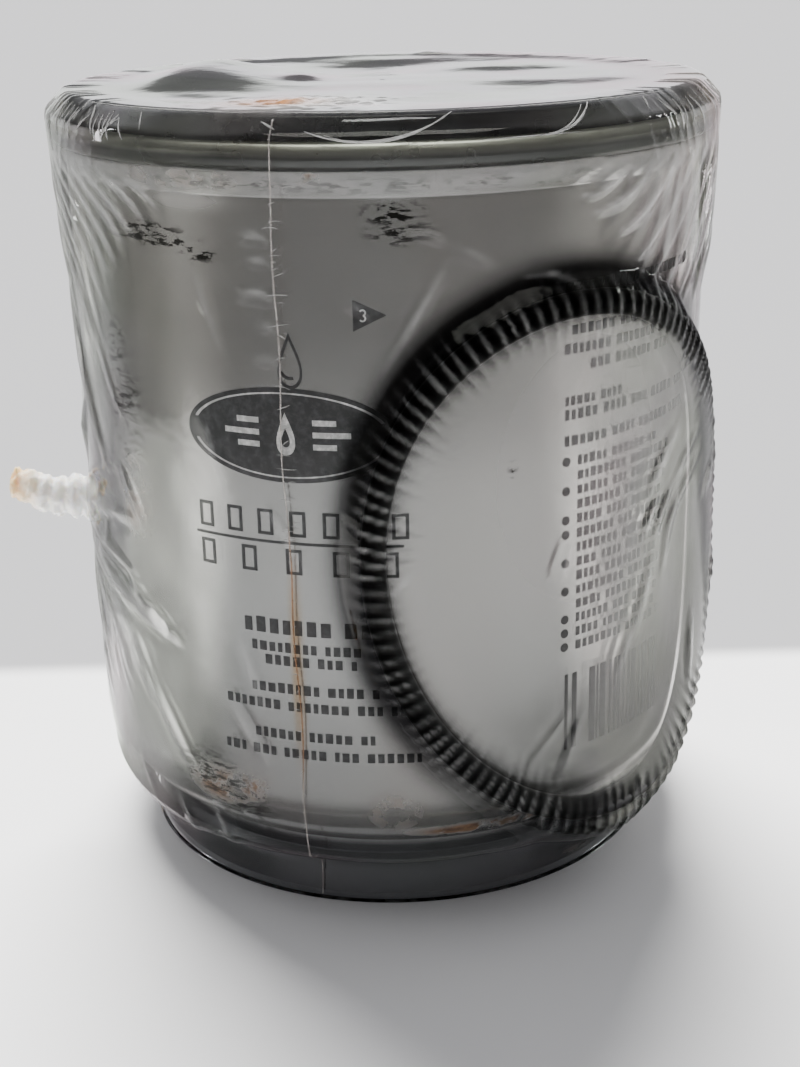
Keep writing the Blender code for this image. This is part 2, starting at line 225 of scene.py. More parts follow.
class Finish(Nodes):
    """A material, handed back by the call that gives it its surface."""

    def __init__(self, name):
        self.material = bpy.data.materials.new(name)
        self.material.use_nodes = True
        super().__init__(self.material.node_tree)
        self.tree.nodes.clear()
        self.output = self.add("OutputMaterial")

    def marks(self):
        """The three masks painted on a mesh: red, green and blue of its colour attribute."""
        painted = self.add("Attribute", attribute_name="marks").outputs["Color"]
        parts = self.add("SeparateColor", {"Color": painted}).outputs
        return parts["Red"], parts["Green"], parts["Blue"]

    def surface(self, inputs):
        return self.show(self.add("BsdfPrincipled", inputs))

    def blend(self, share, first, second):
        return self.add("MixShader", {0: share, 1: first.outputs[0], 2: second.outputs[0]})

    def show(self, shader):
        self.tree.links.new(shader.outputs[0], self.output.inputs["Surface"])
        return self.material


def can_paint():
    """Silver paint on tinplate with fine flake and soft blotches, the grime, rust and fog of the mesh, and
    painted shade on the collar and on the flared band under the rim.
    """
    f = Finish("can_paint")
    grime, rust, fog = f.marks()
    height = f.where()["Z"]
    # Painted shade: the collar is painted dark, standing in for the shade under the shoulder and the shadowed
    # table it reflects.
    collar = f.rise(height, COLLAR_TOP + 0.0022, COLLAR_TOP + 0.0004)
    # Painted shade: the flared band under the rim is painted darker, to damp the bright table it reflects.
    flare_painted_shade = f.rise(height, RIM_BOTTOM - 0.0050, RIM_BOTTOM - 0.0034, 0.55)
    blotch = f.noise(22.0, 4.0, 0.55, (1.0, 1.0, 1.4))
    flake = f.noise(2600.0, 1.0)
    drawn = f.noise(30.0, 3.0, 0.55, (1.0, 1.0, 0.22))
    crumbs = f.noise(620.0, 6.0, 0.72)
    specks = f.noise(330.0, 5.0, 0.70, (1.0, 1.0, 3.6))
    stain = f.noise(190.0, 5.0, 0.65)
    streaks = f.ramp(drawn, (0.35, (0.565, 0.585, 0.59)), (0.50, (0.60, 0.60, 0.59)),
                     (0.65, (0.625, 0.58, 0.56)))
    brown = f.ramp(crumbs, (0.35, (0.09, 0.042, 0.02)), (0.65, (0.32, 0.17, 0.085)))
    rusty = f.times(rust, f.ramp(stain, (0.43, 0.0), (0.53, 1.0)), clamp=True)
    grimy = f.times(f.times(grime, 1.6), f.ramp(specks, (0.505, 0.0), (0.56, 1.0)), clamp=True)
    base = f.mix(0.5, f.ramp(blotch, (0.30, 0.52), (0.70, (0.63, 0.63, 0.625))), streaks)
    # The collar and flare entries below paint shade into the colour.
    for share, colour in (
        (f.times(flake, 0.25), 0.70), (fog, (0.62, 0.61, 0.59)), (collar, (0.17, 0.175, 0.185)),
        (flare_painted_shade, (0.22, 0.22, 0.215)), (rusty, brown), (grimy, (0.022, 0.020, 0.019)),
    ):
        base = f.mix(share, base, colour)
    dull = f.math("MAXIMUM", rusty, f.times(fog, 0.45))
    return f.surface({
        "Base Color": base,
        "Metallic": f.mix(dull, 0.90, 0.05),
        "Roughness": f.mix(rusty, f.ramp(blotch, (0.3, 0.17), (0.7, 0.25)), 0.60),
        "Normal": f.bump(f.noise(900.0, 3.0, 0.6), 0.00002, 0.5),
    })


def plated_steel(name, low, high):
    """Zinc plate with a greenish cast, painted darker below the first of these heights as painted shade, and
    lighter above the other as a painted highlight.
    """
    f = Finish(name)
    streak = f.noise(60.0, 5.0, 0.6, (1.0, 1.0, 14.0))
    cloud = f.noise(30.0, 4.0, 0.6)
    base = f.ramp(streak, (0.30, (0.27, 0.276, 0.268)), (0.70, (0.40, 0.41, 0.395)))
    # Painted shade and painted highlight: a darkened copy of the plate for below, and a lightened copy for
    # above.
    dull, painted_highlight = f.mix(0.5, base, (0.10, 0.107, 0.112)), f.mix(0.6, base, (0.84, 0.86, 0.74))
    base = f.mix(f.rise(f.where()["Z"], low, high), dull, painted_highlight)
    return f.surface({
        "Base Color": f.mix(f.ramp(cloud, (0.60, 0.0), (0.74, 0.7)), base, (0.13, 0.09, 0.055)),
        "Metallic": 0.92,
        "Roughness": f.ramp(cloud, (0.3, 0.22), (0.7, 0.40)),
        "Normal": f.bump(streak, 0.00003, 0.6),
    })


def steel(name, colour, roughness, lines=(1.0, 1.0, 1.0)):
    """Machined or pressed steel with fine lines, oil film and dull patches."""
    f = Finish(name)
    fine = f.noise(420.0, 3.0, 0.6, lines)
    cloud = f.noise(55.0, 4.0, 0.6)
    dark = tuple(0.72 * c for c in colour)
    return f.surface({
        "Base Color": f.ramp(f.mix(0.5, fine, cloud), (0.32, dark), (0.66, colour)),
        "Metallic": 0.95,
        "Roughness": f.ramp(cloud, (0.30, roughness - 0.08), (0.70, roughness + 0.12)),
        "Normal": f.bump(fine, 0.00002, 0.7),
    })


def rubber(name, roughness):
    """Black moulded rubber with a faint bloom and fine pores."""
    f = Finish(name)
    bloom = f.noise(150.0, 4.0, 0.6)
    pores = f.noise(1700.0, 2.0, 0.5)
    return f.surface({
        "Base Color": f.ramp(bloom, (0.35, (0.008, 0.008, 0.010)), (0.75, (0.020, 0.020, 0.023))),
        "Roughness": f.ramp(bloom, (0.3, roughness), (0.7, roughness + 0.15)),
        "Specular IOR Level": 0.45,
        "Normal": f.bump(pores, 0.00004, 0.5),
    })


def shrink_film():
    """Clear film: what shows through it, mirror gloss that grows at a glancing angle, and milky creases."""
    f = Finish("shrink_film")
    milk, shade, stain = f.marks()
    # shade is painted shade: it darkens what shows through the film and dims its gloss.
    tint = f.mix(shade, f.mix(stain, (0.985, 0.985, 0.975), (0.90, 0.68, 0.42)), (0.10, 0.10, 0.11))
    ripple = f.bump(f.noise(160.0, 2.0, 0.5), 0.00012, 0.55)
    rainbow = f.ramp(f.noise(38.0, 2.0, 0.5, (1.0, 1.0, 0.6)), (0.38, (1.0, 0.90, 0.93)), (0.50, 1.0),
                     (0.62, (0.97, 1.0, 0.94)))
    sheen = f.mix(f.times(shade, 0.85, clamp=True), rainbow, 0.0)
    clear = f.add("BsdfTransparent", {"Color": tint})
    gloss = f.add("BsdfGlossy", {"Color": sheen, "Roughness": 0.05, "Normal": ripple})
    glance = f.add("Fresnel", {"IOR": 1.42, "Normal": ripple}).outputs[0]
    fog = f.add("BsdfDiffuse", {"Color": f.mix(stain, (0.50, 0.50, 0.495), (0.33, 0.15, 0.06))})
    broken = f.ramp(f.noise(500.0, 4.0, 0.6), (0.25, 0.45), (0.70, 1.0))
    return f.show(f.blend(f.times(milk, broken, clamp=True), f.blend(glance, clear, gloss), fog))


def gathered_film():
    """Film melted into a milky stub, amber towards its tip."""
    f = Finish("gathered_film")
    along = f.rise(f.where()["X"], -CAN_R - 0.004, -CAN_R - TAIL_LENGTH - 0.001)
    cloud = f.noise(330.0, 4.0, 0.6)
    amber = f.times(f.ramp(along, (0.45, 0.0), (0.95, 1.0)), f.ramp(cloud, (0.30, 0.5), (0.6, 1.0)))
    return f.surface({
        "Base Color": f.mix(amber, (0.96, 0.95, 0.91), (0.86, 0.52, 0.16)),
        "Roughness": f.ramp(cloud, (0.3, 0.16), (0.7, 0.34)),
        "Subsurface Weight": 0.55,
        "Subsurface Radius": (1.0, 0.85, 0.6),
        "Subsurface Scale": 0.002,
        "Transmission Weight": 0.15,
        "Normal": f.bump(cloud, 0.00025, 0.7),
    })


def ink(name, colour):
    """Printed ink, slightly thin in places."""
    f = Finish(name)
    light = tuple(min(1.0, 1.9 * c + 0.01) for c in colour)
    return f.surface({
        "Base Color": f.ramp(f.noise(900.0, 3.0, 0.6), (0.45, colour), (0.80, light)),
        "Roughness": 0.42,
        "Metallic": 0.15,
    })


def paper():
    f = Finish("filter_paper")
    fibre = f.noise(800.0, 5.0, 0.65, (1.0, 1.0, 0.4))
    return f.surface({
        "Base Color": f.ramp(fibre, (0.3, (0.62, 0.48, 0.24)), (0.7, (0.80, 0.68, 0.42))),
        "Roughness": 0.9,
        "Normal": f.bump(fibre, 0.00008),
    })


def plastisol():
    f = Finish("plastisol")
    lumps = f.noise(240.0, 4.0, 0.6)
    return f.surface({
        "Base Color": f.ramp(lumps, (0.3, (0.42, 0.13, 0.07)), (0.7, (0.60, 0.24, 0.14))),
        "Roughness": f.ramp(lumps, (0.3, 0.35), (0.7, 0.6)),
        "Normal": f.bump(lumps, 0.0001),
    })


# ---------------------------------------------------------------- camera and light

def camera():
    data = bpy.data.cameras.new("camera")
    data.lens = CAMERA_LENS
    data.sensor_width = 36.0
    data.clip_start = 0.01
    obj = added("camera", data)
    turn = Matrix.Rotation(math.radians(CAMERA_TURN), 4, "Z")
    tip = Matrix.Rotation(math.radians(90.0 - CAMERA_DOWN), 4, "X")
    roll = Matrix.Rotation(math.radians(CAMERA_ROLL), 4, "Z")
    obj.matrix_world = Matrix.Translation(CAMERA_PLACE) @ turn @ tip @ roll
    bpy.context.scene.camera = obj


def lamp(name, place, aim, width, height, glow, colour=(1.0, 1.0, 1.0), shape="RECTANGLE"):
    """A flat lamp of this brightness that is seen only in reflections."""
    data = bpy.data.lights.new(name, "AREA")
    data.shape = shape
    data.size, data.size_y = width, height
    data.energy = glow * math.pi * width * height
    data.color = colour
    obj = added(name, data)
    obj.location = place
    obj.rotation_euler = facing(Vector(aim) - Vector(place))
    obj.visible_camera = False
    obj.visible_diffuse = False


def lighting():
    """Broad daylight from behind and above, and lamps for the highlights on the film."""
    middle = (0.0, 0.0, 0.08)
    data = bpy.data.lights.new("daylight", "SUN")
    data.energy = 15.5
    data.angle = math.radians(38.0)
    data.color = (1.0, 0.99, 0.97)
    sun = added("daylight", data)
    sun.rotation_euler = facing((0.11, -0.58, -0.79))
    sun.visible_glossy = False
    lamp("ceiling", (0.02, -0.15, 1.2), middle, 0.34, 0.10, 9.0, shape="ELLIPSE")
    lamp("rim_strip", (0.0, -0.18, 0.40), (0.0, -0.05, 0.13), 0.36, 0.11, 3.4, (0.98, 1.0, 0.91))
    for name, azimuth in (("left_strip", -97.0), ("right_strip", 99.0)):
        lamp(name, around(math.radians(azimuth), 0.28, 0.17), middle, 0.012, 0.14, 22.0)


def sky():
    """A dim room in front; behind, from the floor up, a lit wall, a dark ceiling and a high window."""
    world = bpy.data.worlds.new("studio")
    world.use_nodes = True
    f = Nodes(world.node_tree)
    where = f.where("Generated")
    levels = ((0.0, 1.9), (0.13, 2.2), (0.19, 0.34), (0.42, 0.22), (0.54, 1.8), (0.66, 1.8), (0.78, 0.4))
    back = f.ramp(where["Z"], *((height, (level, level, 1.03 * level)) for height, level in levels))
    room = f.mix(f.rise(where["Y"], -0.35, 0.10, soft=True), (0.30, 0.30, 0.31), back)
    f.feed(f.tree.nodes["Background"].inputs["Color"], room)
    bpy.context.scene.world = world


# ---------------------------------------------------------------- mesh helpers

def piece(name, mesh, finish, replaced=(), body="canister"):
    obj = added(name, mesh)
    mesh.materials.clear()
    mesh.materials.append(finish)
    if replaced:
        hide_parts(*replaced)
    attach(obj, body)
    return obj


def grid_mesh(name, points, ring=True):
    """A mesh over rows of points, an array of (rows, columns, 3). ring joins the last column to the first."""
    rows, columns = points.shape[:2]
    mesh = bpy.data.meshes.new(name)
    index = np.arange(rows * columns).reshape(rows, columns)
    right = np.roll(index, -1, axis=1)
    if not ring:
        index, right = index[:, :-1], right[:, :-1]
    faces = np.stack([index[:-1], index[1:], right[1:], right[:-1]], axis=-1).reshape(-1, 4)
    mesh.from_pydata(points.reshape(-1, 3).tolist(), [], faces.tolist())
    mesh.shade_smooth()
    return mesh


def poured(bm, mesh):
    """Moves what bm holds into mesh."""
    bm.to_mesh(mesh)
    bm.free()
    mesh.shade_smooth()
    return mesh


def closed_mesh(name, points, fill=False):
    """A ring grid with doubled points joined, open ends filled if asked, and every face turned outward."""
    mesh = grid_mesh(name, points)
    bm = bmesh.new()
    bm.from_mesh(mesh)
    bmesh.ops.remove_doubles(bm, verts=bm.verts[:], dist=1e-7)
    if fill:
        bmesh.ops.holes_fill(bm, edges=[e for e in bm.edges if e.is_boundary], sides=0)
    bmesh.ops.recalc_face_normals(bm, faces=bm.faces[:])
    return poured(bm, mesh)


def rounded(line, radius, closed=False, steps=5):
    """line with each corner replaced by an arc of this radius, or as much of it as fits."""
    points = [Vector(p) for p in line]
    count = len(points)
    made = []
    for i, corner in enumerate(points):
        if not closed and i in (0, count - 1):
            made.append(corner)
            continue
        before, after = points[i - 1] - corner, points[(i + 1) % count] - corner
        angle = before.angle(after)
        if angle > math.radians(170.0):
            made.append(corner)
            continue
        reach = min(radius / math.tan(angle / 2), 0.45 * before.length, 0.45 * after.length)
        start, end = corner + before.normalized() * reach, corner + after.normalized() * reach
        for step in range(steps + 1):
            t = step / steps
            made.append((1 - t) ** 2 * start + 2 * t * (1 - t) * corner + t * t * end)
    return made


def thick(line, thickness):
    """The closed outline of a sheet whose middle follows this open line."""
    sides = ([], [])
    for i, point in enumerate(line):
        back = (point - line[i - 1]).normalized() if i else (line[1] - point).normalized()
        ahead = (line[i + 1] - point).normalized() if i < len(line) - 1 else back
        along = (back + ahead).normalized()
        out = Vector((along.y, -along.x)) * (thickness / 2 / max(along.dot(ahead), 0.5))
        sides[0].append(point + out)
        sides[1].append(point - out)
    return sides[0] + sides[1][::-1]


def turned_mesh(name, outline, segments):
    """The closed outline of (radius, height), turned about the can's axis."""
    angles = np.linspace(0.0, math.tau, segments, endpoint=False)
    line = np.array([list(p) for p in (*outline, outline[0])])
    mesh = closed_mesh(name, turned(angles, line[:, :1], line[:, 1:]))
    mesh.set_sharp_from_angle(angle=SHARP)
    return mesh


def swept_mesh(name, path, radii, sides, cyclic=False):
    """A round tube along path, with a radius at each point and closed ends unless it is cyclic."""
    count = len(path)
    rows = []
    side = Vector((0.0, 0.0, 1.0))
    angles = [math.tau * k / sides for k in range(sides)]
    for i, point in enumerate(path):
        ahead = path[(i + 1) % count] if cyclic or i < count - 1 else point
        behind = path[i - 1] if cyclic or i else point
        along = (ahead - behind).normalized()
        side = (side - along * side.dot(along)).normalized()
        other = along.cross(side)
        rows.append([list(point + radii[i] * (math.cos(a) * side + math.sin(a) * other)) for a in angles])
    if cyclic:
        rows.append(rows[0])
    return closed_mesh(name, np.array(rows), fill=not cyclic)


def paint_marks(mesh, red, green, blue):
    """Stores three masks, each one value or one a vertex, as the mesh's colour attribute."""
    attribute = mesh.color_attributes.new("marks", "FLOAT_COLOR", "POINT")
    colours = np.ones((len(mesh.vertices), 4), np.float32)
    for channel, values in enumerate((red, green, blue)):
        colours[:, channel] = np.clip(values, 0.0, 1.0)
    attribute.data.foreach_set("color", colours.ravel())


def soft_noise(across, up, cell, seed):
    """Smooth noise from -1 to 1 over arrays of places, with features about one cell wide."""
    wide, high = 97, 89
    table = np.random.default_rng(seed).uniform(-1.0, 1.0, (wide, high))
    x, y = np.asarray(across) / cell, np.asarray(up) / cell
    i, j = np.floor(x).astype(int), np.floor(y).astype(int)
    s, t = ease(x - i), ease(y - j)
    lower, upper = (table[i % wide, k % high] * (1 - s) + table[(i + 1) % wide, k % high] * s
                    for k in (j, j + 1))
    return lower * (1 - t) + upper * t


# ---------------------------------------------------------------- can and lid

GRIME = (   # azimuth in degrees, height, half width and half height in mm, strength
    (-43, 114.6, 9, 1.6, 1), (-36, 113.2, 7, 1, 1), (-31, 112.2, 3, 1.2, 0.9), (-52, 83, 4.5, 8, 0.9),
    (-54, 94, 3, 6, 0.5), (-36, 24, 8, 5, 0.55), (1, 118.8, 4.5, 1.7, 1), (2, 116, 5, 2, 0.6),
    (-16, 122.7, 34, 0.35, 0.5), (22, 122.7, 20, 0.3, 0.4), (20.4, 78.6, 0.5, 1.8, 1), (-30, 19, 7, 3, 0.5),
    (150, 30, 10, 6, 0.5), (118, 92, 5, 9, 0.6), (-140, 112, 12, 1.6, 0.8),
)
RUST = (
    (-34, 22.5, 6, 3.5, 0.9), (-27, 23.5, 3.5, 2.5, 0.9), (16, 16.2, 13, 1.6, 1.3), (-1, 21, 5, 4, 0.35),
    (-52, 70, 4, 8, 0.5), (-40, 8, 12, 4.5, 0.6), (-22, 11, 5, 2, 0.5), (-34, 123.6, 15, 1.2, 0.5),
    (-11, 124, 1.8, 0.8, 1.2), (38, 5, 10, 3, 0.4), (170, 12, 22, 2, 0.7), (110, 14, 12, 1.5, 0.7),
    (-120, 20, 9, 5, 0.5),
)
FOG = (
    (-34, 120, 9, 1.8, 0.6), (-48, 66, 6, 12, 0.35), (46, 92, 8, 10, 0.35), (-5, 22, 24, 6, 0.2),
    (36, 76, 27, 34, 0.55),
)


def spots(azimuth, height, places):
    """A mask of soft ovals at these places on the can's wall."""
    mask = np.zeros_like(azimuth)
    for degrees, up, half_across, half_up, strength in places:
        across = turn_from(math.radians(degrees), azimuth) * CAN_R / (half_across * MM)
        rise = (height - up * MM) / (half_up * MM)
        mask = np.maximum(mask, strength * ease(1.35 - np.hypot(across, rise)))
    return mask


def can(finish):
    """The painted wall with its flared edge, rounded shoulder and collar, and its masks of dirt."""
    half = CAN_SHEET / 2
    wall = CAN_R - half
    flare_r = RIM_R - 0.00085 - half
    foot_end = 0.0006
    line = rounded([
        (flare_r, RIM_TOP - 0.0009), (flare_r, RIM_BOTTOM - 0.0004), (CAN_R + 0.0003, RIM_BOTTOM - 0.0024),
        (wall, RIM_BOTTOM - 0.0042), (wall, SHOULDER_TOP),
    ], 0.0016)[:-1]
    line += [Vector((wall, h)) for h in np.linspace(line[-1].y, SHOULDER_TOP, 110)[1:]]
    bend = SHOULDER_R - half
    line += [Vector((CAN_R - SHOULDER_R + bend * math.cos(a), SHOULDER_TOP + bend * math.sin(a)))
             for a in np.radians(np.linspace(0.0, -60.0, 20)[1:])]
    collar = COLLAR_R - half
    line += rounded([line[-1], (COLLAR_R + 0.0002, COLLAR_TOP + 0.0004), (collar, COLLAR_TOP - 0.0012),
                     (collar, foot_end)], 0.0016)[1:-1]
    line += [Vector((collar, h)) for h in np.linspace(line[-1].y, foot_end, 12)[1:]]
    mesh = turned_mesh("can_wall", thick(line, CAN_SHEET), 288)
    co = np.array([v.co for v in mesh.vertices])
    azimuth, height = np.arctan2(co[:, 0], -co[:, 1]), co[:, 2]
    inner = np.interp(height, (0.0, 0.0140, 0.0240), (0.0460, 0.0480, 0.0535))
    outside = np.hypot(co[:, 0], co[:, 1]) > inner
    paint_marks(mesh, *(spots(azimuth, height, places) * outside for places in (GRIME, RUST, FOG)))
    piece("can_wall", mesh, finish, ["can_shell"])


def lid(finish):
    """The seam's rounded bead with the lid's channel and plate inside it."""
    half = LID_SHEET / 2
    outer = GASKET_OUTER_R + GAP + half
    inner = GASKET_INNER_R - GAP - half
    floor_level = GASKET_BOTTOM - GAP - half
    plane = PLATE_TOP + GAP + half
    line = rounded([
        (RIM_R - 0.0010, RIM_BOTTOM - 0.0001), (RIM_R - half - 0.0002, RIM_BOTTOM + 0.0003),
        (RIM_R - half, RIM_BOTTOM + 0.0014), (RIM_R - half, RIM_TOP - 0.0016),
        (RIM_R - half - 0.0006, RIM_TOP - half), (outer, RIM_TOP - half), (outer, floor_level),
        (inner, floor_level), (inner, plane), (LID_HOLE_R, plane),
    ], 0.0008)
    mesh = turned_mesh("seam_bead", thick(line, LID_SHEET), 240)
    piece("seam_bead", mesh, finish, ["seam_lid"])


def gasket(finish):
    outline = rounded([
        (GASKET_OUTER_R, GASKET_TOP), (GASKET_OUTER_R, GASKET_BOTTOM), (GASKET_INNER_R, GASKET_BOTTOM),
        (GASKET_INNER_R, GASKET_TOP),
    ], 0.0007, closed=True)
    piece("gasket_ring", turned_mesh("gasket_ring", outline, 200), finish, ["top_gasket"])


def bored_mesh(name, outline, bore, pitch, depth, segments):
    """A turned solid whose bore, between the outline's last and first points, has a helical groove."""
    angles = np.linspace(0.0, math.tau, segments, endpoint=False)
    bottom, top = outline[-1][1], outline[0][1]
    heights = np.linspace(top, bottom, int((top - bottom) / pitch * 8))[:, None]
    wave = np.abs(((heights / pitch - angles / math.tau) % 1.0) * 2.0 - 1.0)
    fade = ease((heights - bottom) / pitch) * ease((top - heights) / pitch)
    thread = turned(angles, bore + depth * (1.0 - wave) * fade, heights)
    rows = np.array([turned(angles, *p) for p in outline])
    return closed_mesh(name, np.concatenate([thread, rows[::-1], thread[:1]]))


def hub_plate(finish):
    """The thick plate: inlet holes in a ring, and the stud's thread down its hub."""
    bottom = PLATE_TOP - PLATE_THICK
    bore_top = PLATE_TOP - 0.0012
    outline = [
        (STUD_BORE_R + 0.0002, bore_top), (STUD_BORE_R + 0.0014, PLATE_TOP), (PLATE_R - 0.0004, PLATE_TOP),
        (PLATE_R, PLATE_TOP - 0.0004), (PLATE_R, bottom), (HUB_OUTER_R + 0.0005, bottom),
        (HUB_OUTER_R, bottom - 0.0005), (HUB_OUTER_R, HUB_STEP), (HUB_SPIGOT_R, HUB_STEP),
        (HUB_SPIGOT_R, HUB_END + 0.0005), (HUB_SPIGOT_R - 0.0005, HUB_END), (STUD_BORE_R + 0.0002, HUB_END),
    ]
    obj = piece("hub_plate", bored_mesh("hub_plate", outline, STUD_BORE_R, STUD_PITCH, 0.0008, 128), finish,
                ["thread_plate"])
    bm = bmesh.new()
    for i in range(INLET_COUNT):
        centre = around(math.tau * (i + 0.5) / INLET_COUNT, INLET_PITCH_R, PLATE_TOP - PLATE_THICK / 2)
        bmesh.ops.create_cone(bm, cap_ends=True, segments=40, radius1=INLET_R, radius2=INLET_R,
                              depth=PLATE_THICK * 3, matrix=Matrix.Translation(centre))
    drill = added("drill", poured(bm, bpy.data.meshes.new("drill")))
    cut = obj.modifiers.new("Inlets", "BOOLEAN")
    cut.object = drill
    cut.solver = "EXACT"
    holed = bpy.data.meshes.new_from_object(obj.evaluated_get(bpy.context.evaluated_depsgraph_get()))
    obj.modifiers.clear()
    obj.data = holed
    bpy.data.objects.remove(drill)
    holed.shade_smooth()
    holed.set_sharp_from_angle(angle=SHARP)


def port_ring(finish):
    """The ring in the collar: the bowl's thread below, and the ledge for the spring above."""
    outer = COLLAR_R - CAN_SHEET - GAP
    low, high = PORT_RING_BOTTOM, PORT_RING_TOP
    bore_top = high - 0.0020
    outline = [
        (PORT_BORE_R + 0.0002, bore_top), (PORT_LEDGE_R + 0.0003, bore_top),
        (PORT_LEDGE_R, bore_top + 0.0003), (PORT_LEDGE_R, high - 0.0003), (PORT_LEDGE_R + 0.0003, high),
        (outer - 0.0003, high), (outer, high - 0.0003), (outer, low), (PORT_BORE_R + 0.0013, low),
        (PORT_BORE_R + 0.0002, low + 0.0011),
    ]
    mesh = bored_mesh("port_ring", outline, PORT_BORE_R, PORT_PITCH, 0.0009, 160)
    mesh.set_sharp_from_angle(angle=SHARP)
    piece("port_ring", mesh, finish, ["bowl_thread_ring"])


def spring(finish):
    """Round wire coil with closed ends."""
    low, high = SPRING_LOW + SPRING_WIRE_R, SPRING_HIGH - SPRING_WIRE_R
    count = int(SPRING_TURNS * 64)
    flat = 0.4 / SPRING_TURNS
    path = []
    for i in range(count + 1):
        share = i / count
        rise = ease((share - flat) / (1.0 - 2.0 * flat))
        path.append(around(math.tau * SPRING_TURNS * share, SPRING_R, low + (high - low) * rise))
    mesh = swept_mesh("coil_spring", path, [SPRING_WIRE_R] * len(path), 14)
    obj = piece("coil_spring", mesh, finish, ["element_spring"])
    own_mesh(obj)


# ---------------------------------------------------------------- spare seal

def seal_curve(angle):
    """(across, up) of a point on the spare seal's centre line, from its middle, on the unrolled wall."""
    long, short = SEAL_SEMI_LONG * np.cos(angle), SEAL_SEMI_SHORT * np.sin(angle)
    return (long * math.cos(SEAL_TILT) - short * math.sin(SEAL_TILT),
            long * math.sin(SEAL_TILT) + short * math.cos(SEAL_TILT))


def spare_seal(finish):
    """A ring of round rubber section bent round the wall."""
    radius = CAN_R + GAP + SEAL_SECTION_R
    path = []
    for angle in np.linspace(0.0, math.tau, 300, endpoint=False):
        across, up = seal_curve(angle)
        path.append(around(SEAL_AZIMUTH + across / radius, radius, SEAL_HEIGHT + up))
    mesh = swept_mesh("spare_seal", path, [SEAL_SECTION_R] * len(path), 20, cyclic=True)
    piece("spare_seal", mesh, finish, ["bowl_seal_ring"])


def seal_place(azimuth, height):
    """Where points lie about the spare seal: distance out from its centre line, and run along it."""
    across = turn_from(SEAL_AZIMUTH, azimuth) * (CAN_R + GAP + SEAL_SECTION_R)
    up = height - SEAL_HEIGHT
    long = (across * math.cos(SEAL_TILT) + up * math.sin(SEAL_TILT)) / SEAL_SEMI_LONG
    short = (-across * math.sin(SEAL_TILT) + up * math.cos(SEAL_TILT)) / SEAL_SEMI_SHORT
    reach = np.hypot(long, short) + 1e-9
    slope = np.hypot(long / SEAL_SEMI_LONG, short / SEAL_SEMI_SHORT) / reach
    distance = (reach - 1.0) / np.maximum(slope, 1e-6)
    angles = np.linspace(-math.pi, math.pi, 721)
    x, y = seal_curve(angles)
    length = np.concatenate([[0.0], np.cumsum(np.hypot(np.diff(x), np.diff(y)))])
    return distance, np.interp(np.arctan2(short, long), angles, length)


def run_angle(azimuth, height):
    """The direction of a place from the spare seal's middle: 0 points up to the right, 90 up to the left."""
    return np.arctan2(height - SEAL_HEIGHT, turn_from(SEAL_AZIMUTH, azimuth) * CAN_R) - math.radians(45.0)


# ---------------------------------------------------------------- shrink film

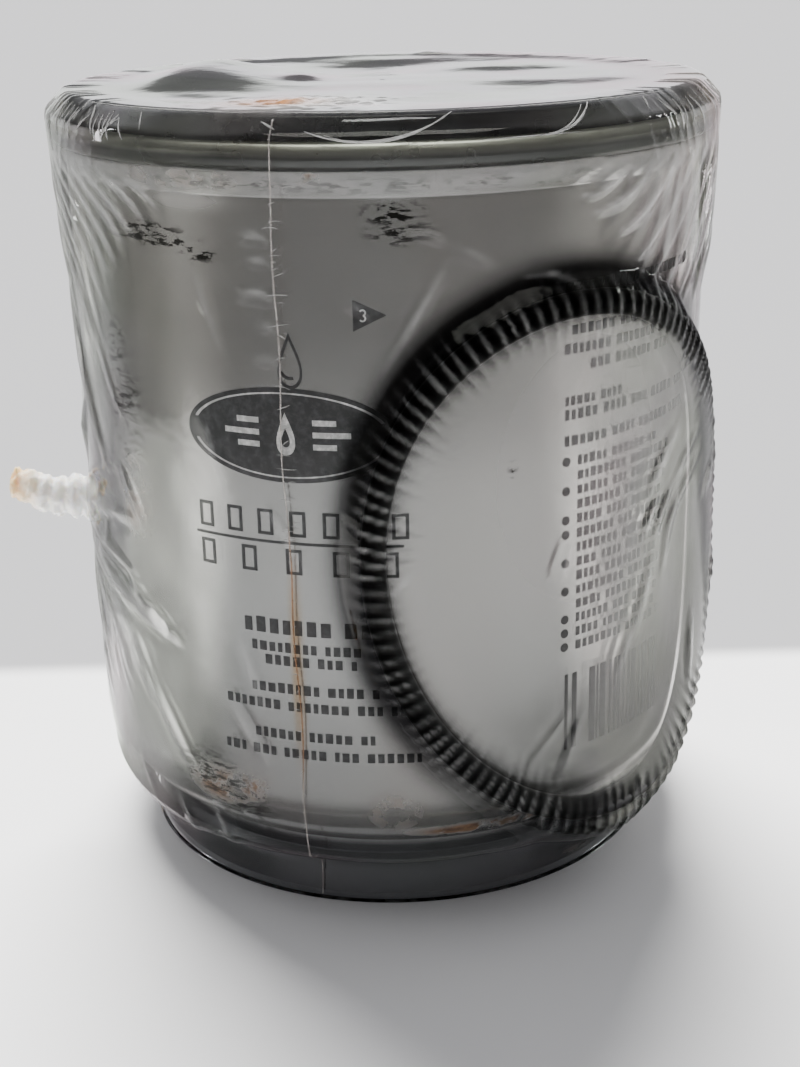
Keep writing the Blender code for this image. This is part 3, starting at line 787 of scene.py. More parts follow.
FILM_LINE = (   # radius and height in mm of the film away from the spare seal, from mid-top down
    (0, 132.2), (30, 132.4), (44, 132.85), (48.4, 133.1), (53.4, 133.1), (54.3, 132.5), (56.7, 129.9),
    (56.95, 128), (56.8, 124), (55.6, 113), (54.9, 103), (54.7, 92), (54.7, 24), (54.2, 19.5), (52.4, 15.5),
    (48.8, 10.8), (47.15, 7), (47, 0.9),
)
GATHERS = (   # each fold's start and end as degrees and mm of height, then width, rise and milk
    # left of the printed front, from under the rim down and forward
    (-92, 124, -72, 96, 1.5, 0.9, 0.35), (-88, 124, -66, 100, 1.2, 0.8, 0.35),
    (-84, 123, -64, 103, 1, 0.8, 0.4), (-79, 124, -60, 103, 1.1, 0.7, 0.5),
    (-75, 124, -55, 104, 0.9, 0.7, 0.5), (-71, 124, -52, 107, 0.8, 0.6, 0.6),
    (-66, 124, -49, 109, 0.8, 0.6, 0.6), (-61, 123, -46, 112, 0.8, 0.5, 0.6),
    (-56, 123, -43, 113, 0.7, 0.5, 0.5), (-51, 123, -40, 116, 0.7, 0.4, 0.5),
    (-46, 123, -37, 118, 0.6, 0.35, 0.4), (-84, 106, -66, 82, 1.3, 0.8, 0.35),
    (-80, 98, -62, 76, 1.2, 0.7, 0.4), (-76, 90, -60, 72, 1.1, 0.6, 0.35),
    (-74, 110, -60, 92, 0.9, 0.5, 0.3),
    # round the gathered tail
    (-84, 62, -50, 66, 1.2, 0.9, 0.3), (-84, 61, -51, 56, 1.5, 1.1, 0.3),
    (-82, 57, -41, 46.5, 1.7, 1.3, 0.5), (-84, 63, -56, 74, 1, 0.8, 0.3), (-86, 65, -70, 84, 1.1, 0.9, 0.4),
    (-84, 56, -58, 40, 1.1, 0.8, 0.4), (-86, 55, -68, 32, 1.2, 0.8, 0.4), (-89, 56, -96, 34, 1.2, 0.8, 0.4),
    (-89, 64, -98, 88, 1.2, 0.8, 0.3), (-89, 62, -116, 72, 1.2, 0.9, 0.3),
    (-89, 60, -120, 58, 1.2, 0.9, 0.4), (-89, 58, -112, 44, 1.2, 0.8, 0.3),
    # soft level puckers to the left of the welded seam, and faint slanting ones on the plain front
    (-23, 114.6, -17.2, 114.2, 0.9, 0.2, 0.26), (-22.5, 110.8, -17.2, 110.6, 0.8, 0.2, 0.24),
    (-24, 106, -17.2, 105.6, 1.1, 0.2, 0.22), (-21.5, 101, -17.2, 100.8, 0.8, 0.15, 0.2),
    (-22, 96, -17.2, 95.8, 0.7, 0.15, 0.18), (9, 113, 17, 109.4, 0.9, 0.15, 0.12),
    (21, 108.4, 31, 106, 0.8, 0.2, 0.16), (-8, 105.8, -2.5, 102.6, 0.6, 0.15, 0.18),
    (3, 116, 9, 113.6, 0.7, 0.15, 0.12),
    # right of the seal's middle, from under the rim down and forward
    (46, 124, 33, 117, 0.9, 0.5, 0.45), (52, 124, 38, 113, 1, 0.6, 0.5), (58, 124, 42, 108, 1.2, 0.8, 0.4),
    (63, 124, 45, 103, 1.3, 0.9, 0.4), (68, 124, 48, 99, 1.4, 1, 0.35), (73, 124, 53, 97, 1.5, 1.1, 0.35),
    (78, 124, 60, 99, 1.5, 1.1, 0.35), (83, 124, 67, 98, 1.5, 1.1, 0.35), (88, 124, 74, 98, 1.5, 1, 0.35),
    (94, 124, 80, 98, 1.5, 1, 0.35), (40, 124, 30, 120, 0.8, 0.4, 0.4), (70, 114, 55, 100, 0.8, 0.6, 0.4),
    (82, 112, 70, 98, 0.9, 0.6, 0.4),
)
CREASES = (   # sharp creases: start and end in degrees and mm, then sideways bow and radius in mm
    (-11.5, 130.7, 10.3, 132.8, -2.35, 0.2), (-8.5, 130.2, 9.2, 132.4, -1.95, 0.12),
    (33.5, 132.8, 24.5, 129.3, -0.9, 0.22), (32, 132.6, 23, 129.2, -1, 0.13),
    (-58, 132.95, -19, 132.95, 0, 0.09), (-16.5, 132.98, 9, 132.98, 0, 0.11),
    (12, 132.95, 52, 132.95, 0, 0.09), (-72, 132.4, -70, 124.5, 0.6, 0.26),
    (-67, 132.2, -64.5, 127.5, 0.3, 0.18), (-54, 132.6, -51, 128.8, 0.4, 0.2),
    (-50, 131.6, -48.5, 128.8, 0, 0.15), (-48.5, 131.9, -48, 129.4, 0, 0.13),
    (-48, 129.6, -45.5, 131.4, 0, 0.13), (-45.5, 131.5, -43, 128.6, 0.2, 0.15),
    (-41, 132.4, -39.5, 130.2, 0.1, 0.12), (30, 129.1, 14, 129, 0.1, 0.09),
    (-18.4, 131.9, -16, 130.9, 0, 0.17),
)


def spread(*stretches):
    """Places from the first stretch's start to the last one's end, each stretch (start, end, step)."""
    made = [np.linspace(a, b, max(2, round((b - a) / step) + 1))[:-1] for a, b, step in stretches]
    return np.concatenate(made)


def walk(line, steps):
    """Points along a smoothed line at these distances with their outward directions, and its length."""
    radius, height = np.array(line).T * MM
    length = np.concatenate([[0.0], np.cumsum(np.hypot(np.diff(radius), np.diff(height)))])
    fine = np.linspace(0.0, length[-1], 4000)
    r, z = np.interp(fine, length, radius), np.interp(fine, length, height)
    window = np.hanning(41)
    window /= window.sum()
    for values in (r, z):
        padded = np.pad(values, 20, mode="reflect", reflect_type="odd")
        values[:] = np.convolve(padded, window, mode="valid")
    tr, tz = np.gradient(r), np.gradient(z)
    size = np.hypot(tr, tz)
    at = [np.interp(steps, fine, values) for values in (r, z, -tz / size, tr / size)]
    return at, length[-1]


class Film:
    """The film's grid of places, and the displacement and marks that folds and waves add to it."""

    def __init__(self):
        top_end, side_start = 0.0515, 0.0800
        top = np.linspace(0.0005, top_end, 76)
        foot = walk(FILM_LINE, top)[1] - 0.0005
        side = spread((top_end, side_start, 0.00070), (side_start, foot - 0.022, 0.00064),
                      (foot - 0.022, foot, 0.0010))
        self.split = len(top) - 1
        lines, _ = walk(FILM_LINE, np.concatenate([top[:-1], side, [foot]]))
        places = spread((-105, -40, 0.70), (-40, -14, 0.8), (-14, 90, 0.52), (90, 255, 1.15))
        self.azimuths = np.radians(places)
        self.azimuth = np.meshgrid(self.azimuths, lines[0])[0]
        self.radius, self.height, self.out_r, self.out_z = (np.meshgrid(self.azimuths, v)[1] for v in lines)
        self.across = self.azimuth * CAN_R
        wall = (self.radius > 0.0536) | (self.height < 0.030)
        self.side_height = np.where(wall, self.height, 1.0)
        self.on_side = self.radius > COLLAR_R
        self.on_rim = self.radius > 0.0480
        self.rise, self.milk, self.shade, self.stain = (np.zeros_like(self.radius) for _ in range(4))

    def fold(self, azimuth_0, height_0, azimuth_1, height_1, width, rise, milk, bow=0.0, dark=0.6):
        """A ridge with a valley on its lower side and a milky crest, in degrees and mm; the milk is partly a
        painted highlight, and dark sets painted shade along the valley.
        """
        a = np.array([math.radians(azimuth_0) * CAN_R, height_0 * MM])
        b = np.array([math.radians(azimuth_1) * CAN_R, height_1 * MM])
        width, rise, bow = width * MM, rise * MM, bow * MM
        along = b - a
        size = np.hypot(*along)
        along /= size
        for shift in (-math.tau * CAN_R, 0.0, math.tau * CAN_R):
            x, y = self.across + shift - a[0], self.side_height - a[1]
            t = (x * along[0] + y * along[1]) / size
            away = y * along[0] - x * along[1]
            near = (t > -0.1) & (t < 1.1) & (np.abs(away) < 5 * width + abs(bow))
            if not near.any():
                continue
            t = t[near]
            tn = np.clip(t, 0.0, 1.0)
            arch = np.sin(math.pi * tn)
            local = width * (0.45 + 0.55 * arch)
            off = (away[near] - bow * 4 * tn * (1 - tn)) / local
            fade = arch ** 0.7 * ease((t + 0.1) / 0.1) * ease((1.1 - t) / 0.1)
            self.rise[near] += rise * fade * (bell(off) - 0.45 * bell(off + 1.7))
            # Milky crest: crease whitening, and partly a painted highlight.
            self.milk[near] += milk * fade * bell((off - 0.4) / 0.5)
            # Painted shade beside the crest on the valley side, as strong as dark times milk.
            self.shade[near] += dark * milk * fade * bell((off + 0.9) / 0.5)

    def over_seal(self):
        """Lifts the film over the spare seal, lets it sink inside it, and gathers it in ribs across it;
        paints shade in streaks inside the ribs, just outside the seal and along its crest, and milky rib tops
        that are partly painted highlights.
        """
        distance, run = seal_place(self.azimuth, self.height)
        crest, sunk = 2 * SEAL_SECTION_R + 2 * GAP, 0.0010
        inside = sunk + (crest - sunk) * ease((distance + 0.0250) / 0.0243) ** 1.6
        outside = crest * (1.0 - ease((distance - 0.0006) / 0.0068))
        lift = np.where(distance < -0.001, inside, np.where(distance > 0.0006, outside, crest))
        side = self.on_side & (self.height < 0.1280)
        held = ease((self.height - 0.0090) / 0.0060) * ease((0.1200 - self.height) / 0.0080) * side
        step = CAN_R + lift - self.radius
        self.rise += 0.5 * (step + np.sqrt(step ** 2 + 0.0004 ** 2)) * held
        phase = math.tau * run / 0.0023 + 1.3 * soft_noise(run, 0 * run, 0.0040, 5)
        strong = 0.75 + 0.5 * soft_noise(run, 0 * run, 0.0070, 8)
        reach_in = 0.0030 + 0.0016 * soft_noise(run, 0 * run, 0.0023, 11)
        ribs = bell(distance / np.where(distance < 0, reach_in, 0.0028)) * strong * held
        self.rise += 0.00026 * np.sin(phase) * ribs
        inner = ease((-distance - 0.0012) / 0.0012)
        # Painted shade: dark streaks in the hollows between the ribs, just inside the seal.
        self.shade += 0.95 * ribs * inner * np.maximum(0.0, np.sin(phase + 0.8)) ** 1.5
        above_left = ease((np.sin(run_angle(self.azimuth, self.height)) + 0.35) / 0.7)
        # Painted shade just outside the seal, heavier above and to the left.
        self.shade += (0.30 + 0.50 * above_left) * bell((distance - 0.0040) / 0.0032) * side
        # Painted shade along the seal's crest, which also dims the film's gloss there.
        self.shade += 0.85 * bell(distance / 0.0026) * side * (0.75 - 0.25 * np.sin(phase + 2.2))
        # Milky rib tops: partly painted highlights on the ribs.
        self.milk += 0.30 * ribs * np.maximum(0.0, np.sin(phase + 2.6)) ** 4

    def edge_pleats(self):
        """Small uneven pleats over the gasket's edge and under the rim, faint in front."""
        degrees = np.degrees(self.azimuth)
        slack = ease((np.abs(degrees + 4.0) - 36.0) / 26.0) * 0.85 + 0.04
        slant = self.across + 0.45 * np.sign(degrees) * (self.height - 0.1300)
        back = math.radians(95.0) * CAN_R
        pleats = np.minimum(slant, back) / 0.0026 + np.maximum(slant - back, 0.0) / 0.0070
        phase = math.tau * pleats + 3.4 * soft_noise(slant, 0 * slant, 0.0052, 21)
        crest = np.abs(np.sin(phase / 2)) ** 4
        size = slack * np.maximum(0.0, 0.45 + 0.9 * soft_noise(slant, 0.25 * self.height, 0.0034, 22))
        under_rim = ease((self.height - 0.1190) / 0.0060)
        size = size * np.where(self.height > 0.1300, ease((self.radius - 0.0455) / 0.0060), under_rim)
        self.rise += 0.00034 * crest * size * (self.radius > 0.0400)
        self.milk += 0.55 * np.maximum(crest - 0.78, 0.0) / 0.22 * size

    def top_waves(self):
        """Slack film over the lid's recess: slow waves, dents, and a rust-stained patch near the seam."""
        x, y = self.radius * np.sin(self.azimuth), -self.radius * np.cos(self.azimuth)
        on_top = self.height > 0.1290
        recess = ease((0.0475 - self.radius) / 0.0120) * on_top
        slow = soft_noise(x, 1.3 * y, 0.0300, 31) + 0.22 * soft_noise(x, 1.4 * y, 0.0110, 32)
        bank = ease((y + 0.0360 + 0.25 * (x + 0.0300)) / 0.0460) * ease((0.0400 - y) / 0.0200)
        self.rise += recess * (
            0.00055 * slow + 0.0025 * bank * bell((x + 0.0320) / 0.0120)
            + 0.0007 * bell((x + 0.0140) / 0.0040, (y - 0.0080) / 0.0070)
            + 0.0010 * bell((x - 0.0200) / 0.0150, (y - 0.0200) / 0.0090))
        patch = bell((x + 0.0130) / 0.0110, (y + 0.0375) / 0.0088) * on_top
        crumple = np.abs(soft_noise(x, y, 0.0021, 33)) + 0.5 * np.abs(soft_noise(x, y, 0.0011, 34))
        self.rise += 0.0009 * patch * crumple
        self.milk += patch * (0.35 + 0.6 * ease((crumple - 0.12) / 0.4))
        self.stain += 1.2 * bell((x + 0.0170) / 0.0065, (y + 0.0375) / 0.0085) * on_top

    def soften(self):
        """Evens out the folds so far, so that none is sharper than the grid can hold."""
        beside = np.roll(self.rise, 1, axis=1) + np.roll(self.rise, -1, axis=1)
        self.rise = 0.5 * self.rise + 0.25 * beside
        self.rise[1:-1] = 0.5 * self.rise[1:-1] + 0.25 * (self.rise[:-2] + self.rise[2:])

    def finished(self):
        """The radius and height of every place, once displaced."""
        return self.radius + self.rise * self.out_r, self.height + self.rise * self.out_z

    def place(self, azimuth, height, out=0.0):
        """The point of the finished film's side at this azimuth and height."""
        radii, heights = ([np.interp(azimuth, self.azimuths, row) for row in grid[self.split + 3:]]
                          for grid in self.finished())
        return around(azimuth, np.interp(height, heights[::-1], radii[::-1]) + out, height)

    def fine_creases(self):
        """Small random creases, more of them towards both sides, and broader at the back."""
        rng = np.random.default_rng(29)
        for _ in range(190):
            degrees = rng.uniform(-110.0, 250.0)
            side = 1.0 if (degrees + 4.0) % 360.0 < 180.0 else -1.0
            slack = abs(((degrees + 4.0 + 180.0) % 360.0) - 180.0) / 60.0
            if rng.random() > slack:
                continue
            height = rng.uniform(14.0, 122.0)
            length = rng.uniform(5.0, 18.0)
            lean = side * rng.uniform(0.2, 0.8)
            wider, higher, milkier = (2.4, 1.6, 0.5) if 95.0 < degrees < 250.0 else (1.0, 1.0, 1.0)
            width, rise, milk = rng.uniform(0.6, 1.1), rng.uniform(0.2, 0.5), rng.uniform(0.1, 0.35)
            self.fold(degrees, height, degrees - math.degrees(lean * length * MM / CAN_R), height - length,
                      width * wider, rise * higher, milk * milkier, dark=0.2)

    def wall_ripples(self):
        """Broad, shallow unevenness over the whole wall."""
        slow = soft_noise(self.across, 0.55 * self.height, 0.0130, 41)
        fast = soft_noise(self.across, 0.6 * self.height, 0.0045, 42)
        self.rise += self.on_side * (self.height < 0.1240) * (0.00016 * slow + 0.00005 * fast)

    def stains(self):
        """Amber along the seam and at the right of the rim, and milky film under the rim and at the tail."""
        worn = ease((self.height - 0.0250) / 0.0200) * ease((0.0680 - self.height) / 0.0160)
        self.stain += 0.8 * worn * bell((self.azimuth - SEAM_AZIMUTH) * CAN_R / 0.0006)
        right = bell((np.degrees(self.azimuth) - 78.0) / 17.0, (self.height - 0.1280) / 0.0070) * self.on_rim
        self.stain += 0.55 * right
        scallop = 0.1213 + 0.0009 * soft_noise(self.across, 0 * self.across, 0.0085, 44)
        under_rim = ease((self.height - scallop) / 0.0010) * ease((0.1256 - self.height) / 0.0012)
        self.milk += 0.22 * right + 0.18 * under_rim * self.on_rim
        tail = np.hypot((self.azimuth - TAIL_AZIMUTH) * CAN_R, self.height - TAIL_HEIGHT)
        self.milk += 0.55 * bell(tail / 0.0065) * self.on_side
        self.rise += 0.0016 * bell(tail / 0.0050) * self.on_side

    def pieces(self, finish):
        radius, height = self.finished()
        points = turned(self.azimuth, radius, np.maximum(height, 0.0002))
        for name, rows, replaced in (
            ("wrap_top", slice(0, self.split + 1), "film_top"),
            ("wrap_side", slice(self.split, None), "film_sleeve"),
        ):
            mesh = grid_mesh(name, points[rows])
            paint_marks(mesh, *(values[rows].ravel() for values in (self.milk, self.shade, self.stain)))
            piece(name, mesh, finish, [replaced])


def film_foot(finish):
    """The film's gathers under the foot, drawn in towards the middle."""
    angles = np.linspace(0.0, math.tau, 300, endpoint=False)
    angle, radius = np.meshgrid(angles, np.linspace(0.0006, 0.0470, 48))
    gather = np.abs(np.sin(23 * angle + 3.0 * soft_noise(radius, angle, 0.02, 51))) ** 3
    height = 0.0002 + 0.0007 * gather * ease(radius / 0.012) * ease((0.0465 - radius) / 0.010)
    mesh = grid_mesh("wrap_foot", turned(angle, radius, height))
    mesh.flip_normals()
    paint_marks(mesh, 0.35 * gather.ravel(), 0.0, 0.0)
    piece("wrap_foot", mesh, finish, ["film_underside"])


def film_weld(film, finish):
    """The seam's trimmed edge: a thin, slightly wandering bead down the front."""
    path, radii = [], []
    for height in np.linspace(0.1322, 0.0012, 260):
        wander = math.radians(0.5 * math.sin(height * 52.0) + 0.25 * math.sin(height * 210.0))
        path.append(film.place(SEAM_AZIMUTH + wander, height, 0.0001))
        radii.append(0.00009 + 0.00005 * abs(math.sin(height * 1900.0)))
    mesh = swept_mesh("wrap_seam", path, radii, 8)
    level = np.array([vertex.co.z for vertex in mesh.vertices])
    brown = 0.75 * ease((level - 0.022) / 0.012) * ease((0.074 - level) / 0.012)
    paint_marks(mesh, 0.50, 0.0, 0.12 + brown)
    piece("wrap_seam", mesh, finish, ["film_seam"])


def film_creases(film, finish):
    """Sharp folded edges too fine for the film's own grid: at the gasket, and in ticks across the seam."""
    rng = np.random.default_rng(17)
    lines = list(CREASES)
    height, seam = 18.0, -17.0
    while height < 121.0:
        busy = 66.0 < height < 120.0
        left, right = rng.uniform(0.1, 2.0 if busy else 0.8), rng.uniform(0.2, 1.7 if busy else 0.9)
        lean = rng.uniform(-0.5, 0.3)
        lines.append((seam - left, height + lean, seam + right, height - lean, rng.uniform(-0.1, 0.3),
                      rng.uniform(0.03, 0.085)))
        height += rng.uniform(0.8, 3.4) if busy else rng.uniform(1.6, 5.0)
    for side in (-1.0, 1.0):
        degrees = 46.0
        while degrees < 100.0:
            top = rng.uniform(131.4, 132.7)
            lean = side * rng.uniform(-2.0, 2.5)
            lines.append((side * degrees, top, side * degrees + lean, top - rng.uniform(1.6, 4.6),
                          rng.uniform(-0.5, 0.5), rng.uniform(0.09, 0.18)))
            degrees += rng.uniform(1.4, 4.2)
    bm = bmesh.new()
    for degrees_0, height_0, degrees_1, height_1, bow, radius in lines:
        path, radii = [], []
        for t in np.linspace(0.0, 1.0, 15):
            azimuth = math.radians(degrees_0 + (degrees_1 - degrees_0) * t)
            level = height_0 + (height_1 - height_0) * t + bow * 4 * t * (1 - t)
            path.append(film.place(azimuth, level * MM, 0.00003))
            radii.append(radius * MM * (0.25 + 0.75 * math.sin(math.pi * t)))
        line = swept_mesh("crease", path, radii, 7)
        bm.from_mesh(line)
        bpy.data.meshes.remove(line)
    mesh = poured(bm, bpy.data.meshes.new("wrap_creases"))
    # Milky white: crease whitening, and partly a painted highlight along each crease.
    paint_marks(mesh, 0.62, 0.0, 0.0)
    piece("wrap_creases", mesh, finish)


def film_stub(finish):
    """The film's end, twisted and shrunk into a ribbed stub."""
    count, cap_start = 90, 0.93
    path, radii = [], []
    for share in (i / (count - 1) for i in range(count)):
        path.append(around(TAIL_AZIMUTH, CAN_R - 0.0004 + (TAIL_LENGTH + 0.0014) * share,
                           TAIL_HEIGHT + 0.0036 * share ** 1.5 + 0.0003 * math.sin(9 * share)))
        rib = 0.00055 * abs(math.sin(math.pi * share * 5.5)) ** 1.5
        past = max(share - cap_start, 0.0) / (1.0 - cap_start)
        radii.append((0.0036 - 0.0012 * share + rib) * math.sqrt(max(1.0 - past ** 2, 0.02)))
    mesh = swept_mesh("wrap_tail", path, radii, 40)
    for vertex in mesh.vertices:
        x, y, z = vertex.co
        lump = float(soft_noise(x * 1.6 + y, z * 1.4 - y, 0.0016, 61))
        crest = float(soft_noise(x, z + y, 0.0008, 62))
        centre = around(TAIL_AZIMUTH, math.hypot(x, y), TAIL_HEIGHT + 0.0015)
        vertex.co += (vertex.co - centre) * (0.16 * lump + 0.07 * crest)
    piece("wrap_tail", mesh, finish, ["film_tail"])


# ---------------------------------------------------------------- printing

class Print:
    """Ink laid on the can's wall: flat marks drawn in mm about a place, thin enough to hug the curve."""

    def __init__(self, out):
        self.bm = bmesh.new()
        self.radius = CAN_R + out

    def vertex(self, origin, x, y):
        azimuth = math.radians(origin[0]) + x * MM / CAN_R
        return self.bm.verts.new(around(azimuth, self.radius, (origin[1] + y) * MM))

    def strip(self, origin, lower, upper):
        """Faces between two lines of (x, y) with the same number of points."""
        a = [self.vertex(origin, *p) for p in lower]
        b = [self.vertex(origin, *p) for p in upper]
        for i in range(len(a) - 1):
            self.bm.faces.new((a[i], a[i + 1], b[i + 1], b[i]))

    def bar(self, origin, left, bottom, right, top, lean=0.0):
        columns = max(2, int(abs(right - left) / 1.5) + 2)
        xs = [left + (right - left) * i / (columns - 1) for i in range(columns)]
        self.strip(origin, [(x, bottom) for x in xs], [(x + lean, top) for x in xs])

    def oval(self, origin, a, b):
        xs = [a * math.cos(math.pi * (1 - i / 60)) for i in range(61)]
        ys = [b * math.sqrt(max(1 - (x / a) ** 2, 0.0)) for x in xs]
        self.strip(origin, [(x, -y) for x, y in zip(xs, ys)], list(zip(xs, ys)))

    def band(self, origin, a, b, inner, start, end):
        """Part of an oval's edge, from start to end in degrees. inner is the share of its size left open."""
        outer = [(a * x, b * y) for x, y in arc_line(0.0, 0.0, 1.0, start, end, 96)]
        self.strip(origin, [(x * inner, y * inner) for x, y in outer], outer)

    def stroke(self, origin, line, width):
        """A pen stroke of this width along a line of (x, y)."""
        points = [Vector(p) for p in line]
        sides = ([], [])
        for i, point in enumerate(points):
            along = (points[min(i + 1, len(points) - 1)] - points[max(i - 1, 0)]).normalized()
            out = Vector((along.y, -along.x)) * width / 2
            sides[0].append(tuple(point + out))
            sides[1].append(tuple(point - out))
        self.strip(origin, sides[1], sides[0])

    def row(self, azimuth, height, letter, count, rng, lean=0.0):
        """A line of print shown only as short blocks, with a space after every few."""
        x = 0.0
        longest = 9
        left_in_word = rng.integers(3, longest)
        for _ in range(count):
            wide = letter * rng.uniform(0.42, 0.72)
            drop = letter * rng.uniform(0.0, 0.14)
            self.bar((azimuth, height), x, -letter / 2, x + wide, letter / 2 - drop, lean)
            x += wide + letter * 0.28
            left_in_word -= 1
            if left_in_word <= 0:
                x += letter * 0.55
                left_in_word = rng.integers(3, longest)

    def finish(self, name, material):
        bmesh.ops.recalc_face_normals(self.bm, faces=self.bm.faces[:])
        piece(name, poured(self.bm, bpy.data.meshes.new(name)), material)


def arc_line(centre_x, centre_y, radius, start, end, steps=14):
    turns = [math.radians(start + (end - start) * i / steps) for i in range(steps + 1)]
    return [(centre_x + radius * math.cos(t), centre_y + radius * math.sin(t)) for t in turns]


def drop_line(size, steps=40):
    """The outline of a fuel drop, round below and pointed above."""
    turns = [math.tau * i / steps for i in range(steps + 1)]
    return [(size * 0.62 * math.sin(t) * math.sin(t / 2) ** 1.4, size * math.cos(t)) for t in turns]


def printed_front(dark, light):
    """A plain oval with a fuel drop, a heading of hollow blocks, and short rows, all without lettering."""
    rng = np.random.default_rng(3)
    under, over = Print(0.00006), Print(0.00011)
    emblem = (-17.2, 85.3)
    under.oval(emblem, 17.2, 7.5)
    for start in (20.0, 195.0):
        over.band(emblem, 16.3, 6.75, 0.965, start, start + 145.0)
    drop = drop_line(3.4)
    over.strip((emblem[0], emblem[1] + 0.3), [(0.45 * x, 0.45 * y - 0.6) for x, y in drop], drop)
    for side in (-1, 1):
        for level, reach in ((2.2, 8.0), (0.3, 10.2), (-1.6, 8.0)):
            ends = sorted((side * 4.3, side * reach))
            over.bar(emblem, ends[0], level - 0.45, ends[1], level + 0.45)
    above = (-16.0, 97.0)
    outline = drop_line(4.4)
    under.strip(above, [(0.80 * x, 0.80 * y - 0.3) for x, y in outline], outline)
    under.stroke(above, arc_line(0.0, -1.2, 1.5, 200.0, 290.0), 0.5)
    for height, count, pitch in ((71.1, 7, 5.35), (64.8, 5, 7.6)):
        for x in (-16.3 + i * pitch for i in range(count)):
            for left, right in ((x, x + 0.55), (x + 2.1, x + 2.65)):
                under.bar((-17.0, height), left, -2.1, right, 2.1)
            for low in (-2.1, 1.6):
                under.bar((-17.0, height), x + 0.55, low, x + 2.1, low + 0.5)
    under.bar((-17.0, 67.9), -17.2, -0.22, 17.6, 0.22)
    for azimuth, height, letter, count in (
        (-26.4, 53.7, 2.7, 10), (-25.2, 50.1, 1.75, 12), (-22.8, 47.8, 1.75, 9), (-25.6, 42.9, 1.75, 13),
        (-30.8, 39.9, 1.75, 19), (-25.4, 34.7, 1.75, 13), (-31.6, 31.5, 1.75, 20),
    ):
        under.row(azimuth, height, letter, count, rng)
    pointer = (-3.0, 104.0)
    under.strip(pointer, [(-2.4, -2.4), (2.6, 0.0)], [(-2.4, 2.4), (2.6, 0.0)])
    for side in (1, -1):   # the two bowls of a numeral 3
        bowl = arc_line(-0.95, side * 0.42, 0.42, 115.0 + side * 35.0, -115.0 + side * 35.0)
        over.stroke(pointer, bowl, 0.22)
    under.finish("front_print", dark)
    over.finish("front_print_light", light)


def printed_side(dark):
    """Rows of instructions and bars for scanning, as plain blocks."""
    rng = np.random.default_rng(12)
    marks = Print(0.00006)
    marks.row(29.5, 105.8, 1.8, 20, rng, lean=0.35)
    for azimuth, height, letter, count in (
        (31.0, 99.4, 1.7, 16), (29.6, 96.4, 1.7, 17), (35.0, 93.6, 1.7, 13), (29.8, 88.2, 1.5, 9),
        (29.8, 86.0, 1.75, 20), (29.8, 81.8, 1.75, 20),
    ):
        marks.row(azimuth, height, letter, count, rng)
    bullets = (0, 2, 4, 5, 7, 9, 11, 12, 13)
    for line in range(14):
        height = 78.4 - 2.42 * line
        marks.row(32.6, height, 1.6, int(rng.integers(13, 18)), rng)
        if line in bullets:
            marks.oval((30.2, height), 0.75, 0.75)
    x = 0.0
    while x < 24.0:
        wide = float(rng.choice([0.35, 0.6, 0.95, 1.3]))
        marks.bar((30.4, 35.2), x, -6.8, x + wide, 6.8)
        x += wide + float(rng.choice([0.4, 0.6, 0.9]))
        if 3.0 < x < 5.2:
            x = 5.2
    marks.finish("side_print", dark)


# ---------------------------------------------------------------- the stage

def floor():
    """A pale table that turns soft grey behind the object, with no wall to stand in another view's way."""
    mesh = bpy.data.meshes.new("table")
    half = 4.0
    corners = [(-half, -half, 0), (half, -half, 0), (half, half, 0), (-half, half, 0)]
    mesh.from_pydata(corners, [], [(0, 1, 2, 3)])
    f = Finish("table")
    back = f.rise(f.where()["Y"], 0.0485, 0.0575, soft=True)
    near = f.ramp(f.noise(14.0, 4.0, 0.5), (0.3, (0.84, 0.84, 0.85)), (0.7, (0.88, 0.88, 0.885)))
    mesh.materials.append(f.surface({"Base Color": f.mix(back, near, (0.30, 0.30, 0.31)), "Roughness": 0.6}))
    added("table", mesh)


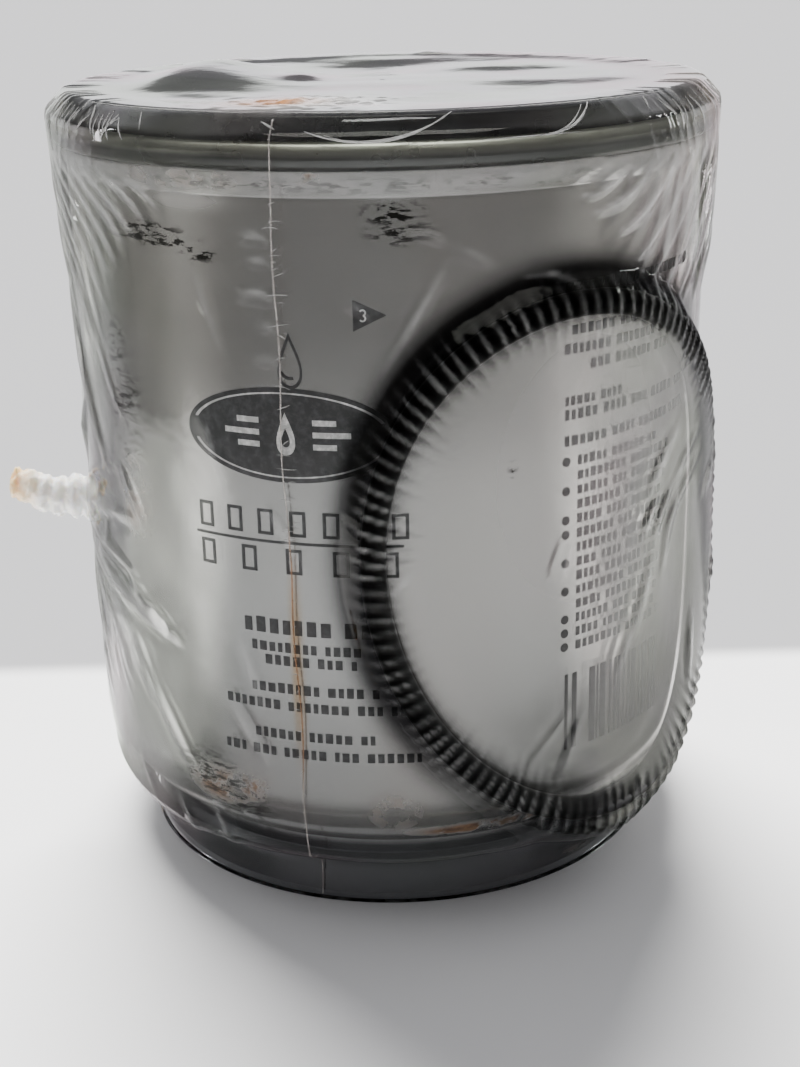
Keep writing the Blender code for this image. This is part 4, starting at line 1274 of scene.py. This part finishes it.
def dark_card():
    """What the object reflects from in front: a shaded table, then a dim room with a dark ceiling."""
    inner, outer, table_level = 0.057, 0.300, 0.001
    profile = [(inner, table_level), (0.090, table_level), (0.150, table_level), (outer, table_level),
               (outer, 0.012), (outer, 0.240), (0.260, 0.380), (0.150, 0.520)]
    azimuths = np.radians(np.arange(-115, 116, 5))
    mesh = grid_mesh("dark_card", np.array([turned(azimuths, *p) for p in profile]), ring=False)
    f = Finish("dark_card")
    where = f.where()
    flat = f.add("CombineXYZ", {"X": where["X"], "Y": where["Y"]}).outputs[0]
    reach = f.add("VectorMath", {0: flat}, operation="LENGTH").outputs["Value"]
    side = f.rise(f.math("DIVIDE", f.math("ABSOLUTE", where["X"]), reach), 0.78, 0.97, soft=True)
    away = f.rise(reach, inner, outer)
    table = f.mix(side, f.ramp(away, (0.0, 0.09), (0.12, 0.30), (0.40, 0.68), (1.0, 0.78)),
                  f.ramp(away, (0.0, 0.20), (0.12, 0.70), (0.35, 0.98), (1.0, 1.0)))
    lit = f.add("VectorMath", {0: table, 1: (6.2, 6.1, 5.9)}, operation="MULTIPLY").outputs["Vector"]
    table = f.mix(f.times(side, 0.55), table, lit)
    room = f.mix(side, (0.135, 0.13, 0.125), (0.42, 0.41, 0.39))
    room = f.mix(f.times(side, f.rise(where["Z"], 0.25, 0.34)), room, (0.95, 0.95, 0.90))
    shown = f.add("Emission", {"Color": f.mix(f.rise(where["Z"], table_level, 0.012), table, room)})
    behind = f.rise(f.math("DIVIDE", where["Y"], reach), 0.05, 0.41, soft=True)
    above = f.rise(where["Z"], 0.40, 0.515, soft=True)
    mesh.materials.append(f.show(f.blend(f.math("MAXIMUM", behind, above), shown, f.add("BsdfTransparent"))))
    obj = added("dark_card", mesh)
    obj.visible_camera = False
    obj.visible_diffuse = False
    obj.visible_shadow = False
    obj.visible_transmission = False


# ---------------------------------------------------------------- build

def dress_cad_nodes(finishes):
    """A worked finish for every CAD node that stays visible."""
    for node, finish in finishes.items():
        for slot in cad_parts[node].material_slots:
            slot.material = finish


def main():
    camera()
    lighting()
    sky()
    floor()
    dark_card()
    black = rubber("black_rubber", 0.22)
    bare = steel("bare_steel", (0.50, 0.50, 0.51), 0.30, (1.0, 1.0, 9.0))
    cap = steel("cap_steel", (0.62, 0.62, 0.61), 0.34)
    wire = steel("spring_steel", (0.34, 0.34, 0.36), 0.30)
    clear = shrink_film()
    glue, media = plastisol(), paper()

    can(can_paint())
    lid(plated_steel("rim_plate", RIM_TOP - 0.0022, RIM_TOP - 0.0008))
    gasket(black)
    hub_plate(bare)
    port_ring(plated_steel("port_plate", 0.0, 0.004))
    spring(wire)
    spare_seal(rubber("seal_rubber", 0.30))
    printed_front(ink("print_dark", (0.045, 0.047, 0.05)), ink("print_light", (0.50, 0.50, 0.50)))
    printed_side(ink("side_dark", (0.05, 0.05, 0.052)))

    film = Film()
    film.wall_ripples()
    film.edge_pleats()
    film.top_waves()
    film.fine_creases()
    for gather in GATHERS:
        film.fold(*gather, bow=1.2)
    film.soften()
    film.over_seal()
    film.stains()
    film.pieces(clear)
    film_foot(clear)
    film_weld(film, clear)
    film_creases(film, clear)
    film_stub(gathered_film())

    dress_cad_nodes({
        "spring_seat": bare, "centre_tube": bare, "top_end_cap": cap, "bottom_end_cap": cap,
        "element_grommet": black, "top_potting": glue, "bottom_potting": glue, "bead_band_upper": glue,
        "bead_band_lower": glue, "pleated_media": media,
    })


main()
